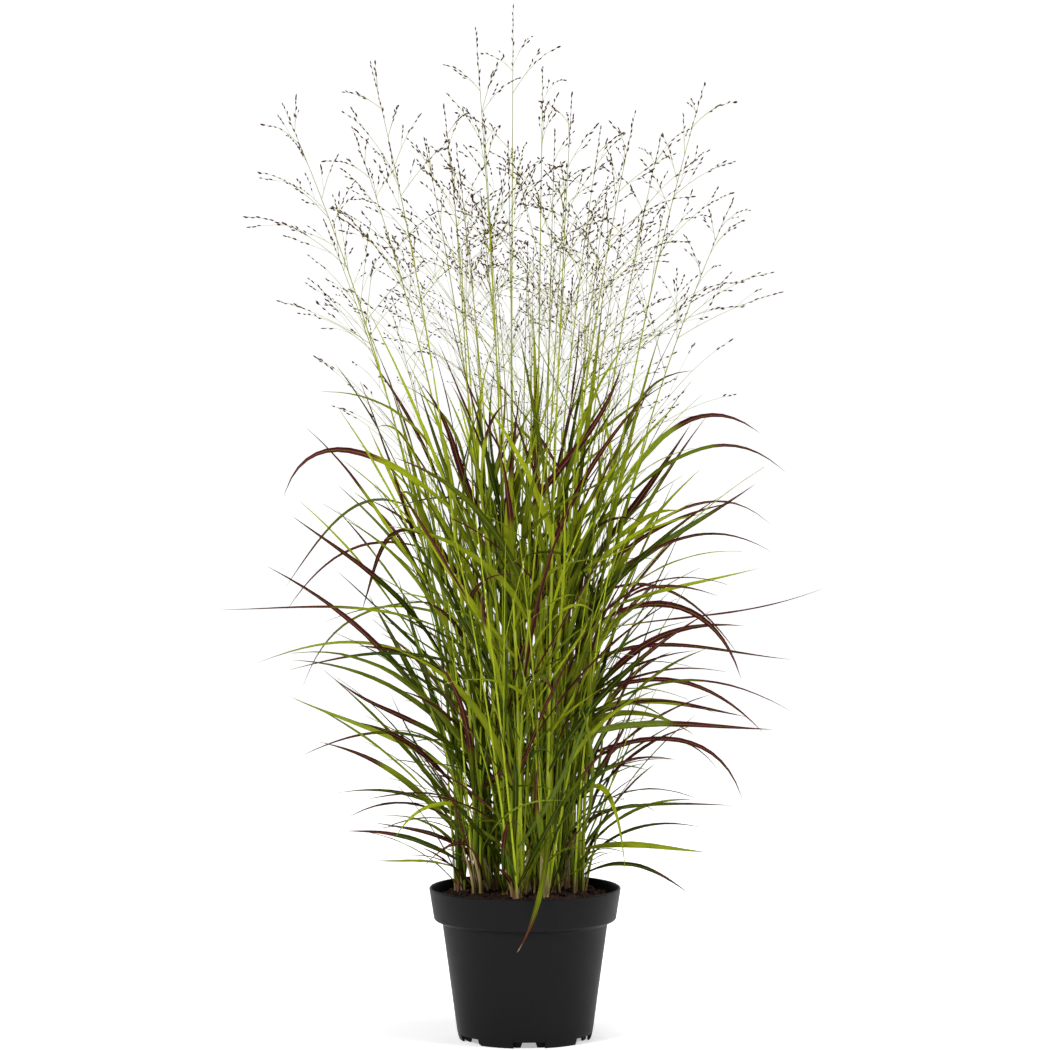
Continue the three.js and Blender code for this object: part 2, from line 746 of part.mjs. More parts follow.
// The outside of the pot from the foot up, then the inside down to the floor: radius, z.
function potProfile() {
  const floorTop = FLOOR_Z + FLOOR_THICKNESS;
  return [
    [0, FLOOR_Z],
    [FOOT_RADIUS - FOOT_WALL, FLOOR_Z],
    [FOOT_RADIUS - FOOT_WALL, 0],
    [FOOT_RADIUS - 0.6, 0],
    [FOOT_RADIUS + 0.9, 4],
    [BASE_RADIUS, BASE_CORNER_Z],
    [LEDGE_RADIUS, LEDGE_Z],
    [BAND_FOOT_RADIUS - LEDGE_FILLET, BAND_FOOT_Z - LEDGE_FILLET],
    [BAND_FOOT_RADIUS, BAND_FOOT_Z],
    [RIM_RADIUS, POT_HEIGHT - LIP],
    [RIM_RADIUS - LIP, POT_HEIGHT],
    [RIM_RADIUS - 2 * LIP, POT_HEIGHT],
    [RIM_RADIUS - WALL - LIP, POT_HEIGHT - 2 * LIP],
    [BAND_FOOT_RADIUS - WALL, BAND_FOOT_Z + WALL],
    [wallAt(LEDGE_Z + WALL) - WALL, LEDGE_Z + WALL],
    [wallAt(floorTop) - WALL, floorTop],
    [0, floorTop],
  ];
}

function lathe(profile, segments) {
  const points = profile.map(([radius, z]) => new THREE.Vector2(radius, z));
  const geometry = new THREE.LatheGeometry(points, segments);
  geometry.rotateX(Math.PI / 2);
  return solidFrom(geometry);
}

// A block through the foot ring between two feet.
function notchSolid(n) {
  const middle = FIRST_NOTCH + (n * 2 * Math.PI) / NOTCHES;
  const width = 2 * FOOT_RADIUS * Math.sin(NOTCH_ANGLE / 2);
  const block = new THREE.BoxGeometry(NOTCH_DEPTH, width, NOTCH_HEIGHT * 2);
  block.rotateZ(middle);
  block.translate(FOOT_RADIUS * Math.cos(middle), FOOT_RADIUS * Math.sin(middle), 0);
  return solidFrom(block);
}

function potSolid() {
  let pot = lathe(potProfile(), POT_SEGMENTS);
  for (let n = 0; n < NOTCHES; n++) pot = pot.subtract(notchSolid(n));
  return pot;
}

function soilSolid() {
  const bottom = FLOOR_Z + FLOOR_THICKNESS + GAP;
  const ledge = BAND_FOOT_Z + WALL + SOIL_PIECE_GAP;
  const inWall = WALL + SOIL_PIECE_GAP;
  const inBand = 2 * WALL + SOIL_PIECE_GAP;
  const edge = SOIL_Z - 1;
  const profile = [
    [0, bottom],
    [wallAt(bottom) - inWall, bottom],
    [wallAt(LEDGE_Z) - inWall, LEDGE_Z + WALL + SOIL_PIECE_GAP],
    [bandAt(ledge) - inBand, ledge],
    [bandAt(edge) - inBand, edge],
    [SOIL_TOP_RADIUS, SOIL_Z],
    [0, SOIL_Z],
  ];
  let soil = lathe(profile, SOIL_SEGMENTS);
  for (let tuft = 0; tuft < TUFTS; tuft++) soil = soil.subtract(crownHole(tuft));
  return soil;
}

function crownHole(tuft) {
  const centre = tuftCentre(tuft);
  const depth = CROWN_DEPTH + SOIL_PIECE_GAP;
  const hole = new THREE.CylinderGeometry(CROWN_HOLE_RADIUS, CROWN_HOLE_RADIUS, 2 * depth, 8);
  hole.rotateX(Math.PI / 2);
  hole.translate(centre.x, centre.y, SOIL_Z);
  return solidFrom(hole);
}

function makeMaterials() {
  const leaf = new THREE.MeshStandardMaterial({ color: 0x6f7d1e, roughness: 0.6, metalness: 0 });
  const panicle = new THREE.MeshStandardMaterial({ color: 0x6a3c35, roughness: 0.8, metalness: 0 });
  const plastic = new THREE.MeshStandardMaterial({ color: 0x1b1b1c, roughness: 0.5, metalness: 0 });
  const peat = new THREE.MeshStandardMaterial({ color: 0x2b1a12, roughness: 1, metalness: 0 });
  return { leaf, panicle, plastic, peat };
}

const plant = growPlant();
const materials = makeMaterials();
const switchgrass = new THREE.Group();
switchgrass.add(meshFrom("pot", potSolid(), materials.plastic));
switchgrass.add(meshFrom("soil", soilSolid(), materials.peat));
for (let tuft = 0; tuft < TUFTS; tuft++) {
  const culms = plant.culms.filter((culm) => culm.tuft === tuft);
  const blades = plant.blades.filter((blade) => blade.culm.tuft === tuft);
  const solids = [crownSolid(tuft), ...culms.map(culmSolid), ...blades.map(bladeSolid)];
  switchgrass.add(meshFrom("tuft_" + twoDigits(tuft + 1), joined(solids), materials.leaf));
}
plant.culms
  .filter((culm) => culm.flowers)
  .forEach((culm, n) => {
    const branches = plant.branches.filter((branch) => branch.culm === culm);
    const solids = [rachisSolid(culm), ...branches.map(branchSolid)];
    switchgrass.add(meshFrom("panicle_" + twoDigits(n + 1), joined(solids), materials.panicle));
  });

export default switchgrass;
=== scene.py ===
"""The looks of the potted switchgrass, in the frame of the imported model.

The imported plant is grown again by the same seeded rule. It gets finer blades, stems and seed heads, and
more leaves. The pot gets rounded corners and webs, and the soil gets lumps and crumbs.
"""
import math

import bpy
import numpy as np
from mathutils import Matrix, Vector


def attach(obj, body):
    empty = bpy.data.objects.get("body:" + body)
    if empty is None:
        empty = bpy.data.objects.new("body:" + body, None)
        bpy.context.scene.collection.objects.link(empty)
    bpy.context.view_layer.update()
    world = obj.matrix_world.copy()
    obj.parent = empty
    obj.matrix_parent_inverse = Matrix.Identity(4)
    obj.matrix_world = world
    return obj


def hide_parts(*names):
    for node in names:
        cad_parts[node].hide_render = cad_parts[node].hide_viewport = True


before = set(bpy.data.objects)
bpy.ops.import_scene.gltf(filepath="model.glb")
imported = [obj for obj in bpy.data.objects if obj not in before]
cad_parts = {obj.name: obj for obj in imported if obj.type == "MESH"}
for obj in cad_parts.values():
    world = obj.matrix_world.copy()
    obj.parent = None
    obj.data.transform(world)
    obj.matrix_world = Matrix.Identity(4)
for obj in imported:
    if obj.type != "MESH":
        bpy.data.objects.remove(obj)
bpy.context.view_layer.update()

MM = 0.001

# The pot and the soil, in millimetres.
POT_HEIGHT = 183
RIM_RADIUS = 115
BAND_FOOT_RADIUS = 109.4
BAND_FOOT_Z = 145.6
LEDGE_RADIUS = 99.3
LEDGE_Z = 140
BASE_RADIUS = 82
BASE_CORNER_Z = 12
FOOT_RADIUS = 79.5
WALL = 1.8
FOOT_WALL = 3
FLOOR_Z = 8.5
FLOOR_THICKNESS = 2.2
NOTCHES = 6
NOTCH_ANGLE = 28
FIRST_NOTCH = -86.2
NOTCH_HEIGHT = 7.6
WEB_RADIUS = 71
WEB_THICK = 2.5
WEB_GAP = 5.5
WEB_END = 24
SOIL_Z = 170
SOIL_MOUND = 8
MOUND_RADII = (74, 108)

# The meshes of the pot and the soil. The nearest points are NOTCH_EDGE radians from a notch's edge.
POT_ROUNDING = 1.2
ROUNDING_STEPS = 4
POT_SIDES = 216
NOTCH_EDGE = 0.002
SOIL_SIDES = 224
SOIL_RINGS = 66
SOIL_GAP = 0.7
FLOOR_GAP = 0.35
WEB_STEPS = 6
WEB_SLANT = 2.5
LUMP_WAVES = 14
LUMP_WAVES_HEIGHT = 3.7
# The size and the height of each kind of lump.
LUMPS = [(26, 1.4), (8, 0.9), (3.4, 0.5)]
CRUMBS = 1500
CRUMB_SIZES = (0.9, 3.4)

# The plant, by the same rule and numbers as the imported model.
TUFTS = 18
CULMS_A_TUFT = 3
TUFT_SPREAD = 76
CULM_RING = 5
CULM_ROOT_DEPTH = 8
LEAFY_SHARE = 0.64
FLOWERING_JOINTS = [0, 0.22, 0.43, LEAFY_SHARE, 0.82, 1]
LEAFY_JOINTS = [0, 0.5, 1]
BLADE_SPACING = 108
BLADE_TRIES = 26
BRANCHES_A_PANICLE = 6
BRANCH_TRIES = 16
GOLDEN_ANGLE = math.radians(137.508)
CULM_TRIES = 40
CULM_GAP = 6
CULM_CHECK_STEP = 20
SHEATH_LENGTH = 140
SHARE_MARGIN = 0.02
SET_BLADE_TRIES = 40
FIRST_BLADE_HEIGHT = 42
HEIGHT_JITTER = 24
LEAFY_HEIGHT = 520
INNER_RADIUS = 60
LEG_STRETCH = 1.15
SHARP_BEND = 0.8
BENT_STATIONS = [0, 0.2, 0.45, 0.73, 1]
STRAIGHT_STATIONS = [0, 0.3, 0.7, 1]
WIDEST = 0.28
PACKED_ROOT_SHARE = 0.12

# The first key of each stream of draws, and the seeds of the fine detail.
CULM_DRAWS = 1
BLADE_DRAWS = 2
SET_BLADE_DRAWS = 3
BRANCH_DRAWS = 4
STRAY_BLADE_DRAWS = 5
EXTRA_BRANCH_DRAWS = 6
SHORT_LEAF_DRAWS = 7
TILLER_DRAWS = 8
DRY_SHEATH_DRAWS = 9
TUFT_SEED = 100
PANICLE_SEED = 300
SOIL_SEED = 11

# The space near the pot that blades keep clear of: by radius and height at the rim and over the soil.
RIM_ZONE = (104, 119.5)
RIM_CLEARANCE = 3
SOIL_ZONE = 113
SOIL_CLEARANCE = 6

# Leaves that the visual model adds. Up to the HELD share of one may be in cells that others hold. The first
# BURIED points of one are next to the soil and aren't tested.
LOW_SPACING = 30
HIGH_SPACING = 52
SPACING_HEIGHTS = (300, 560)
STRAY_TRIES = 6
STRAY_HELD = 0.3
SHORT_LEAVES = 34
SHORT_LEAF_TRIES = 8
SHORT_LEAF_HELD = 0.1
TILLERS = 2
TILLER_TRIES = 6
TILLER_HELD = 0.12
TILLER_PAINTED_SHADE = 0.45
TILLER_BURIED = 15
SHOOTS = 2
DRY_SHEATHS = 2
DRY_SHEATH_BURIED = 20
# Ranges of the low leaves: root height, turn, tilt at root and tip, length, swerve, the two rolls, width.
SHORT_LEAF = ((180, 232), 80, (22, 48), (60, 105), (60, 140), 0.5, (30, 70), (4, 6.4))
TILLER = ((171, 186), 100, (4, 26), (8, 64), (120, 330), 0.6, (90, 120), (2.8, 4.8))
DRY_SHEATH = ((171, 176), 150, (4, 26), (8, 52), (28, 92), 0.4, (40, 60), (2.4, 4.2))
HANGING_BLADE = 51
HANGING_CURVE = [(30, -84, 290), (31, -130, 185), (-10, -143, 124)]

# The meshes of blades, stems and shoots: places along a blade, and across its upper and then its lower face.
BLADE_T = np.concatenate([[0, 0.012, 0.03, 0.055, 0.09], np.linspace(0.13, 0.965, 14), [0.992]])
BLADE_X = np.array([-1, -0.55, 0, 0.55, 1, 0.55, 0, -0.55])
BLADE_UNDER = np.array([0, 0, 0, 0, 0, 1, 1, 1])
BLADE_THICK = 0.32
BLADE_SLIMMING = 0.88
ROOT_SHARE = 0.42
BLADE_FOLD = 0.26
ROOT_FOLD = 0.75
ROOT_FOLD_REACH = 0.05
EDGE_WAVE = 0.16
CULM_STATIONS = 46
CULM_SIDES = 8
CULM_RADII = (1.45, 0.95)
CULM_FOOT = (SOIL_Z + 4, SOIL_Z + 48)
SHEATH_STEP = 0.32
LAYER_STEP = 0.1
LAYERS = 3
COLLAR_REACH = 0.001
NODE_REACH = 0.004
NODE_BULGE = 0.25
NODE_DROPS = (0.05, 0.085)
LOWEST_NODE = 0.06
SHOOT_STATIONS = 16
SHOOT_SIDES = 6
SHOOT_RADII = (1.3, 0.25)
SHOOT_LENGTHS = (200, 560)
SHOOT_LEANS = (2, 21)
SHOOT_FOOT = (SOIL_Z + 4, SOIL_Z + 40)

# The seed heads.
MIDDLE_EXTRA_BRANCHES = 3
OUTER_EXTRA_BRANCHES = 8
OUTER_RADII = (90, 240)
RICH_HEIGHTS = (780, 1020)
RIPE_HEIGHTS = (840, 1040)
RIPE_RADII = (110, 220)
AXIS_STATIONS = 26
AXIS_SIDES = 6
AXIS_RADII = (1.05, 0.2)
FIRST_AXIS_GRAIN = 0.82
BRANCH_STATIONS = 9
BRANCH_SIDES = 4
BRANCH_RADII = (0.36, 0.16)
BARE_SHARES = (0.86, 0.5)
TWIG_STATIONS = 6
TWIG_SIDES = 3
TWIG_RADII = (0.2, 0.13)
TWIG_SPACING = 56
GRAIN_SPACING = 7.6
GRAIN_SIDES = 5
GRAIN_TILTS = (0.06, 0.38)
GRAIN_LENGTHS = (4.4, 6.6)
GRAIN_GROWTH = (0.66, 1.05)
GRAIN_SLIMNESS = (0.15, 0.19)
GRAIN_STALKS = (0.6, 2.2)
GRAIN_STALK_SIDES = 3
GRAIN_STALK_RADIUS = 0.15
SPREAD_LIMIT = 366
TOP_LIMIT = 1246

# Painted shading of a leaf by the height and the radius of its root: painted shade low down and in the
# middle of the clump, painted light high up. The set blades keep their full tone.
LOW_PAINTED_SHADE = 0.6
HIGH_PAINTED_LIGHT = 1.2
PAINTED_LIGHT_HEIGHTS = (220, 600)
INNER_PAINTED_SHADE = 0.6
PAINTED_SHADE_RADII = (15, 85)
STEM_TONE = 0.8

# Colours, as linear red, green and blue.
DARK_LEAF = (0.011, 0.023, 0.0004)
LIGHT_LEAF = (0.36, 0.42, 0.012)
BLUISH_LEAF = (0.085, 0.145, 0.026)
LEAF_VEIN = (0.04, 0.06, 0.001)
LEAF_RIB = (0.30, 0.34, 0.02)
DARK_MAROON = (0.026, 0.005, 0.0065)
LIGHT_MAROON = (0.12, 0.012, 0.018)
STRAW = (0.50, 0.37, 0.19)
DARK_STEM = (0.06, 0.105, 0.006)
LIGHT_STEM = (0.42, 0.49, 0.026)
PINK_FOOT = (0.22, 0.08, 0.055)
PALE_FOOT = (0.46, 0.33, 0.20)
BROWN_STALK = (0.075, 0.043, 0.022)
GREEN_STALK = (0.31, 0.36, 0.01)
DARK_HUSK = (0.010, 0.003, 0.003)
LIGHT_HUSK = (0.062, 0.018, 0.012)
HUSK_PATCH = (0.16, 0.09, 0.045)
DARK_PLASTIC = (0.0054, 0.0054, 0.0057)
LIGHT_PLASTIC = (0.0082, 0.0082, 0.0085)
DARK_PEAT = (0.009, 0.004, 0.003)
LIGHT_PEAT = (0.042, 0.018, 0.011)
PEAT_FIBRE = (0.12, 0.06, 0.036)
BACKDROP_COLOUR = (0.93, 0.93, 0.93, 1)
WHITE = (1, 1, 1, 1)

# The studio, in metres.
CAMERA_PLACE = (0, -6, 1.024)
CAMERA_AIM = (0, 0, 0.6185)
CAMERA_LENS = 172.5
CAMERA_SENSOR = 36
CAMERA_FAR = 100
WORLD_STRENGTH = 0.06
BACKDROP_REACH = 13.0
BACKDROP_DEPTH = 11.0
BACKDROP_TURN = 2.5
BACKDROP_STEPS = 12
NEAR_GLOW = 0.42
FAR_GLOW = 0.68
LAMP_AIM = (0, 0, 0.55)
# Each lamp's name, place, size and power.
LAMPS = [
    ("left", (-2.2, -2.6, 2.5), 0.7, 108),
    ("right", (2.6, -1.4, 2.0), 0.9, 54),
    ("top", (0.3, -0.2, 3.2), 0.8, 68),
]

# The space that the plant is grown in, as a grid of cells. A culm's leafy part has its number plus 1 as
# owner, and panicles and blades are numbered from the two FIRST ones on.
CELL = 3.4
ROOM_HALF = 430
ROOM_LOW = 20
ROOM_HIGH = 1300
SAMPLE_STEP = 3
ACROSS_STEPS = 4
HIDDEN_STEPS = 3
FIRST_PANICLE_OWNER = 100
FIRST_BLADE_OWNER = 200

# Tips of the flowering culms that give the outline: x, y, z.
SET_TOPS = [
    (-289, -20, 1124),
    (-212, 150, 1098),
    (-180, -150, 1170),
    (-100, 210, 1125),
    (-58, -120, 1210),
    (-14, 10, 1240),
    (22, 180, 1172),
    (54, -240, 1132),
    (95, 260, 1100),
    (128, -180, 1112),
    (166, 110, 1088),
    (214, -20, 1148),
    (246, -70, 1010),
    (-244, 80, 985),
]

# Blades that stand out: x, y, z of the root and of the tip, tilt from upright at the root and at the tip,
# width and share of red.
SET_BLADES = [
    (-100, -30, 640, -287, -40, 652, 46, 165, 9.5, 0.55),
    (-114, 20, 536, -265, 50, 734, 40, 50, 7, 0.35),
    (-120, -40, 464, -278, -90, 638, 32, 55, 9, 0.45),
    (-132, -20, 368, -310, -50, 575, 36, 62, 10, 0.5),
    (-150, 40, 577, -293, 80, 503, 75, 145, 4.5, 0.7),
    (-125, 10, 636, -290, 10, 539, 58, 145, 4.5, 0.3),
    (-140, -60, 486, -361, -110, 526, 62, 90, 4.5, 0.4),
    (-150, 50, 524, -270, 90, 415, 90, 160, 4, 0.2),
    (-102, -30, 443, -200, -60, 479, 62, 85, 8, 0.9),
    (-140, 30, 438, -327, 60, 446, 58, 112, 5, 0.15),
    (-130, -50, 446, -283, -90, 452, 70, 104, 5, 0.3),
    (-110, 0, 608, -196, 0, 514, 65, 160, 7, 0.95),
    (-110, -50, 332, -227, -100, 446, 38, 50, 9, 0.5),
    (-110, 40, 314, -289, 80, 406, 56, 68, 8, 0.05),
    (-85, -40, 318, -199, -80, 391, 44, 76, 9, 0.85),
    (-110, -20, 350, -270, -30, 343, 64, 115, 4.5, 0.4),
    (-100, 20, 250, -251, 40, 354, 42, 80, 9, 0.35),
    (-88, 0, 290, -189, 0, 289, 75, 100, 4.5, 0.9),
    (-88, -30, 281, -155, -50, 248, 66, 150, 6, 0.1),
    (-90, -20, 215, -216, -60, 258, 58, 88, 8, 0.35),
    (-66, 20, 215, -183, 30, 257, 52, 80, 6, 0.8),
    (-88, 10, 205, -183, 20, 212, 70, 88, 5, 0.0),
    (80, -40, 506, 257, -70, 436, 58, 165, 10, 0.85),
    (66, -20, 416, 264, -60, 501, 36, 96, 10, 0.7),
    (110, 20, 494, 361, 40, 540, 80, 70, 4.5, 0.7),
    (90, 50, 524, 262, 90, 450, 60, 146, 5, 0.8),
    (110, -30, 518, 282, -50, 571, 68, 75, 6, 0.0),
    (80, 20, 446, 325, 50, 452, 62, 96, 6, 0.75),
    (80, -50, 392, 316, -100, 404, 56, 118, 5, 0.4),
    (100, 0, 416, 290, 0, 364, 66, 138, 7, 0.85),
    (66, -30, 350, 298, -70, 378, 66, 92, 11, 0.4),
    (62, 30, 380, 272, 70, 380, 62, 102, 9, 0.3),
    (66, 0, 326, 262, 0, 284, 64, 165, 8, 0.8),
    (88, 40, 320, 235, 70, 315, 60, 145, 5, 0.7),
    (88, -20, 272, 251, -40, 286, 76, 92, 5, 0.3),
    (70, -30, 218, 217, -60, 234, 76, 92, 9, 0.1),
    (88, 0, 200, 199, 10, 172, 62, 128, 7, 0.3),
    (96, -30, 300, 118, -110, 214, 60, 172, 8, 0.1),
    (86, 0, 630, 283, 20, 726, 28, 130, 10, 0.45),
    (96, -30, 650, 310, -60, 683, 44, 134, 6.5, 0.35),
    (86, -20, 580, 199, -40, 744, 40, 34, 10, 0.8),
    (96, 10, 590, 298, 30, 614, 54, 134, 5, 0.7),
    (100, -40, 510, 274, -90, 675, 44, 56, 10, 0.25),
    (90, 30, 545, 265, 60, 644, 46, 82, 6, 0.7),
    (96, -60, 560, 293, -110, 592, 56, 120, 5, 0.8),
    (90, 0, 600, 189, 10, 635, 58, 102, 8, 0.0),
    (60, -50, 550, 202, -110, 656, 50, 62, 6, 0.0),
    (18, -10, 660, 65, -30, 865, 20, 5, 11, 1.0),
    (24, -20, 650, 116, -40, 820, 34, 14, 10, 1.0),
    (-24, -30, 620, -126, -60, 794, 36, 44, 10, 1.0),
    (90, 30, 620, 208, 60, 801, 24, 90, 7, 0.2),
    (35, -60, 290, -8, -146, 122, 24, 172, 9, 0.25),
    (-10, 90, 420, -30, 361, 470, 50, 110, 9, 0.6),
    (20, -90, 400, 40, -361, 430, 50, 112, 9, 0.3),
]


class Draws:
    """A seeded stream of numbers. Each culm, blade and branch has a stream of its own, named by its key."""

    MODULUS = 2147483647
    MULTIPLIER = 48271
    STATE_FACTOR = 7919
    KEY_FACTOR = 104729
    KEY_STEP = 17
    SKIPPED = 3

    def __init__(self, *key):
        self.state = 1
        for part in key:
            mixed = self.state * self.STATE_FACTOR + part * self.KEY_FACTOR + self.KEY_STEP
            self.state = mixed % self.MODULUS
        for _ in range(self.SKIPPED):
            self.between(0, 1)

    def between(self, low, high):
        """The next number between low and high."""
        self.state = (self.state * self.MULTIPLIER) % self.MODULUS
        return low + ((high - low) * self.state) / self.MODULUS

    def angle(self, low, high):
        """The next angle between low and high degrees, in radians."""
        return math.radians(self.between(low, high))


class Room:
    """The cells that hold something, with the number of each one's owner, or -1 where two owners meet."""

    def __init__(self):
        side = math.floor(2 * ROOM_HALF / CELL) + 1
        floors = math.floor((ROOM_HIGH - ROOM_LOW) / CELL) + 1
        self.cells = np.zeros((side, side, floors), np.int16)
        self.low = np.array([-ROOM_HALF, -ROOM_HALF, ROOM_LOW], float)
        steps = (-1, 0, 1)
        self.around = np.array([(i, j, k) for i in steps for j in steps for k in steps])

    def index(self, points):
        """The cells of the points."""
        cells = np.floor((points - self.low) / CELL).astype(int)
        return np.clip(cells, 1, np.array(self.cells.shape) - 2)

    def held_share(self, points, own):
        """The share of the points that are in cells of another owner."""
        i, j, k = self.index(points).T
        held = self.cells[i, j, k]
        return np.mean((held != 0) & (held != own))

    def fill(self, points, owner):
        """Gives the points' cells, and those next to them, to the owner."""
        cells = np.unique(self.index(points), axis=0)
        i, j, k = np.unique((cells[:, None] + self.around).reshape(-1, 3), axis=0).T
        held = self.cells[i, j, k]
        self.cells[i, j, k] = np.where((held == 0) | (held == owner), owner, -1)


def mix(low, high, share):
    """The value at this share of the way from low to high."""
    return low + (high - low) * share


def stretch(low, high, value):
    """0 below low, 1 above high and smooth between."""
    part = np.clip((value - low) / (high - low), 0, 1)
    return part * part * (3 - 2 * part)


def leaning(tilt, azimuth):
    """The direction that leans by tilt from upright towards azimuth."""
    flat = math.sin(tilt)
    return np.array([flat * math.cos(azimuth), flat * math.sin(azimuth), math.cos(tilt)])


def plan_length(vector):
    """The length of a vector seen from above."""
    return math.hypot(vector[0], vector[1])


def plan_angle(vector):
    """The way that a vector points seen from above."""
    return math.atan2(vector[1], vector[0])


def unit(vector):
    """The vector at a length of 1."""
    return vector / np.linalg.norm(vector)


def normalised(rows):
    """Each row at a length of 1."""
    return rows / np.linalg.norm(rows, axis=1)[:, None]


def cubic(controls, u):
    """The points at u of the cubic curve with these four control points."""
    p0, p1, p2, p3 = controls
    return (1 - u) ** 3 * p0 + 3 * (1 - u) ** 2 * u * p1 + 3 * (1 - u) * u * u * p2 + u ** 3 * p3


class Culm:
    """A stem: it leaves the soil upright and leans out with the square of its height."""

    def __init__(self, number, base, top, flowers):
        self.number = number
        self.tuft = number // CULMS_A_TUFT
        self.base = base
        self.top = top
        self.flowers = flowers
        self.leafy_share = LEAFY_SHARE if flowers else 1
        self.shares = FLOWERING_JOINTS if flowers else LEAFY_JOINTS
        self.points = [self.curve_at(share) for share in self.shares]

    def curve_at(self, share):
        """The point on the stem's true curve."""
        lean = share * share
        return np.array([mix(self.base[i], self.top[i], share if i == 2 else lean) for i in range(3)])

    def at(self, share):
        """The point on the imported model's straight stretches."""
        above = [i for i, joint in enumerate(self.shares) if joint >= share]
        high = max(1, above[0]) if above else 1
        part = (share - self.shares[high - 1]) / (self.shares[high] - self.shares[high - 1])
        return mix(self.points[high - 1], self.points[high], part)

    def share_at(self, z):
        """The share of its way up that the height z is at."""
        return (z - self.base[2]) / (self.top[2] - self.base[2])

    def slope(self, share):
        """The direction of the true curve."""
        rise = self.top - self.base
        return unit(np.array([2 * share * rise[0], 2 * share * rise[1], rise[2]]))

    def leaf_top(self):
        """The height up to which its blades are spaced."""
        return mix(SOIL_Z, self.top[2], 0.5) if self.flowers else self.top[2] - 20


def tuft_centre(tuft):
    """The tufts fill a disc evenly, as seeds do in a sunflower."""
    radius = TUFT_SPREAD * math.sqrt((tuft + 0.5) / TUFTS)
    azimuth = tuft * GOLDEN_ANGLE
    return np.array([radius * math.cos(azimuth), radius * math.sin(azimuth), SOIL_Z])


def culm_bases():
    """Where the culms start, a few millimetres into the soil."""
    bases = []
    for tuft in range(TUFTS):
        centre = tuft_centre(tuft)
        for k in range(CULMS_A_TUFT):
            turn = tuft * GOLDEN_ANGLE + (k * 2 * math.pi) / CULMS_A_TUFT
            step = CULM_RING * np.array([math.cos(turn), math.sin(turn), 0])
            bases.append(centre + step - np.array([0, 0, CULM_ROOT_DEPTH]))
    return bases


def tops_by_base(bases):
    """Each set top goes to the free base nearest to the point a third of the way out to it."""
    tops = {}
    for x, y, z in SET_TOPS:
        free = [i for i in range(len(bases)) if i not in tops]
        best = min(free, key=lambda i: math.hypot(bases[i][0] - x / 3, bases[i][1] - y / 3))
        tops[best] = np.array([x, y, z], float)
    return tops


def drawn_top(base, flowers, draws):
    """Where a culm without a set top ends. A flowering one that reaches far out ends lower."""
    radius = plan_length(base)
    azimuth = plan_angle(base) + draws.angle(-32, 32)
    if flowers:
        reach = radius * draws.between(1.25, 2.5) + draws.between(0, 40)
        height = 1150 - 0.5 * reach - draws.between(0, 220)
    else:
        reach = radius * draws.between(1, 1.5) + draws.between(0, 25)
        height = draws.between(560, 760)
    return np.array([reach * math.cos(azimuth), reach * math.sin(azimuth), height])


def clears_culms(made, others):
    """Two culms of different tufts keep apart all the way up, and two of one tuft above its sheaths."""
    for other in others:
        z = SOIL_Z + (SHEATH_LENGTH if other.tuft == made.tuft else CULM_CHECK_STEP)
        while z < min(made.top[2], other.top[2]):
            here = made.at(made.share_at(z))
            there = other.at(other.share_at(z))
            if plan_length(here - there) < CULM_GAP:
                return False
            z += CULM_CHECK_STEP
    return True


def grow_culms():
    """All culms by number. Those with set tops are placed first. Two in five of the others stay leafy."""
    bases = culm_bases()
    tops = tops_by_base(bases)
    culms = []
    for number in sorted(range(len(bases)), key=lambda i: (i not in tops, i)):
        flowers = number in tops or number % 5 not in (2, 4)
        for attempt in range(CULM_TRIES):
            draws = Draws(CULM_DRAWS, number, attempt)
            if number in tops:
                top = tops[number].copy()
                top[1] += attempt * draws.between(-8, 8)
            else:
                top = drawn_top(bases[number], flowers, draws)
            made = Culm(number, bases[number], top, flowers)
            if clears_culms(made, culms):
                culms.append(made)
                break
    return sorted(culms, key=lambda culm: culm.number)


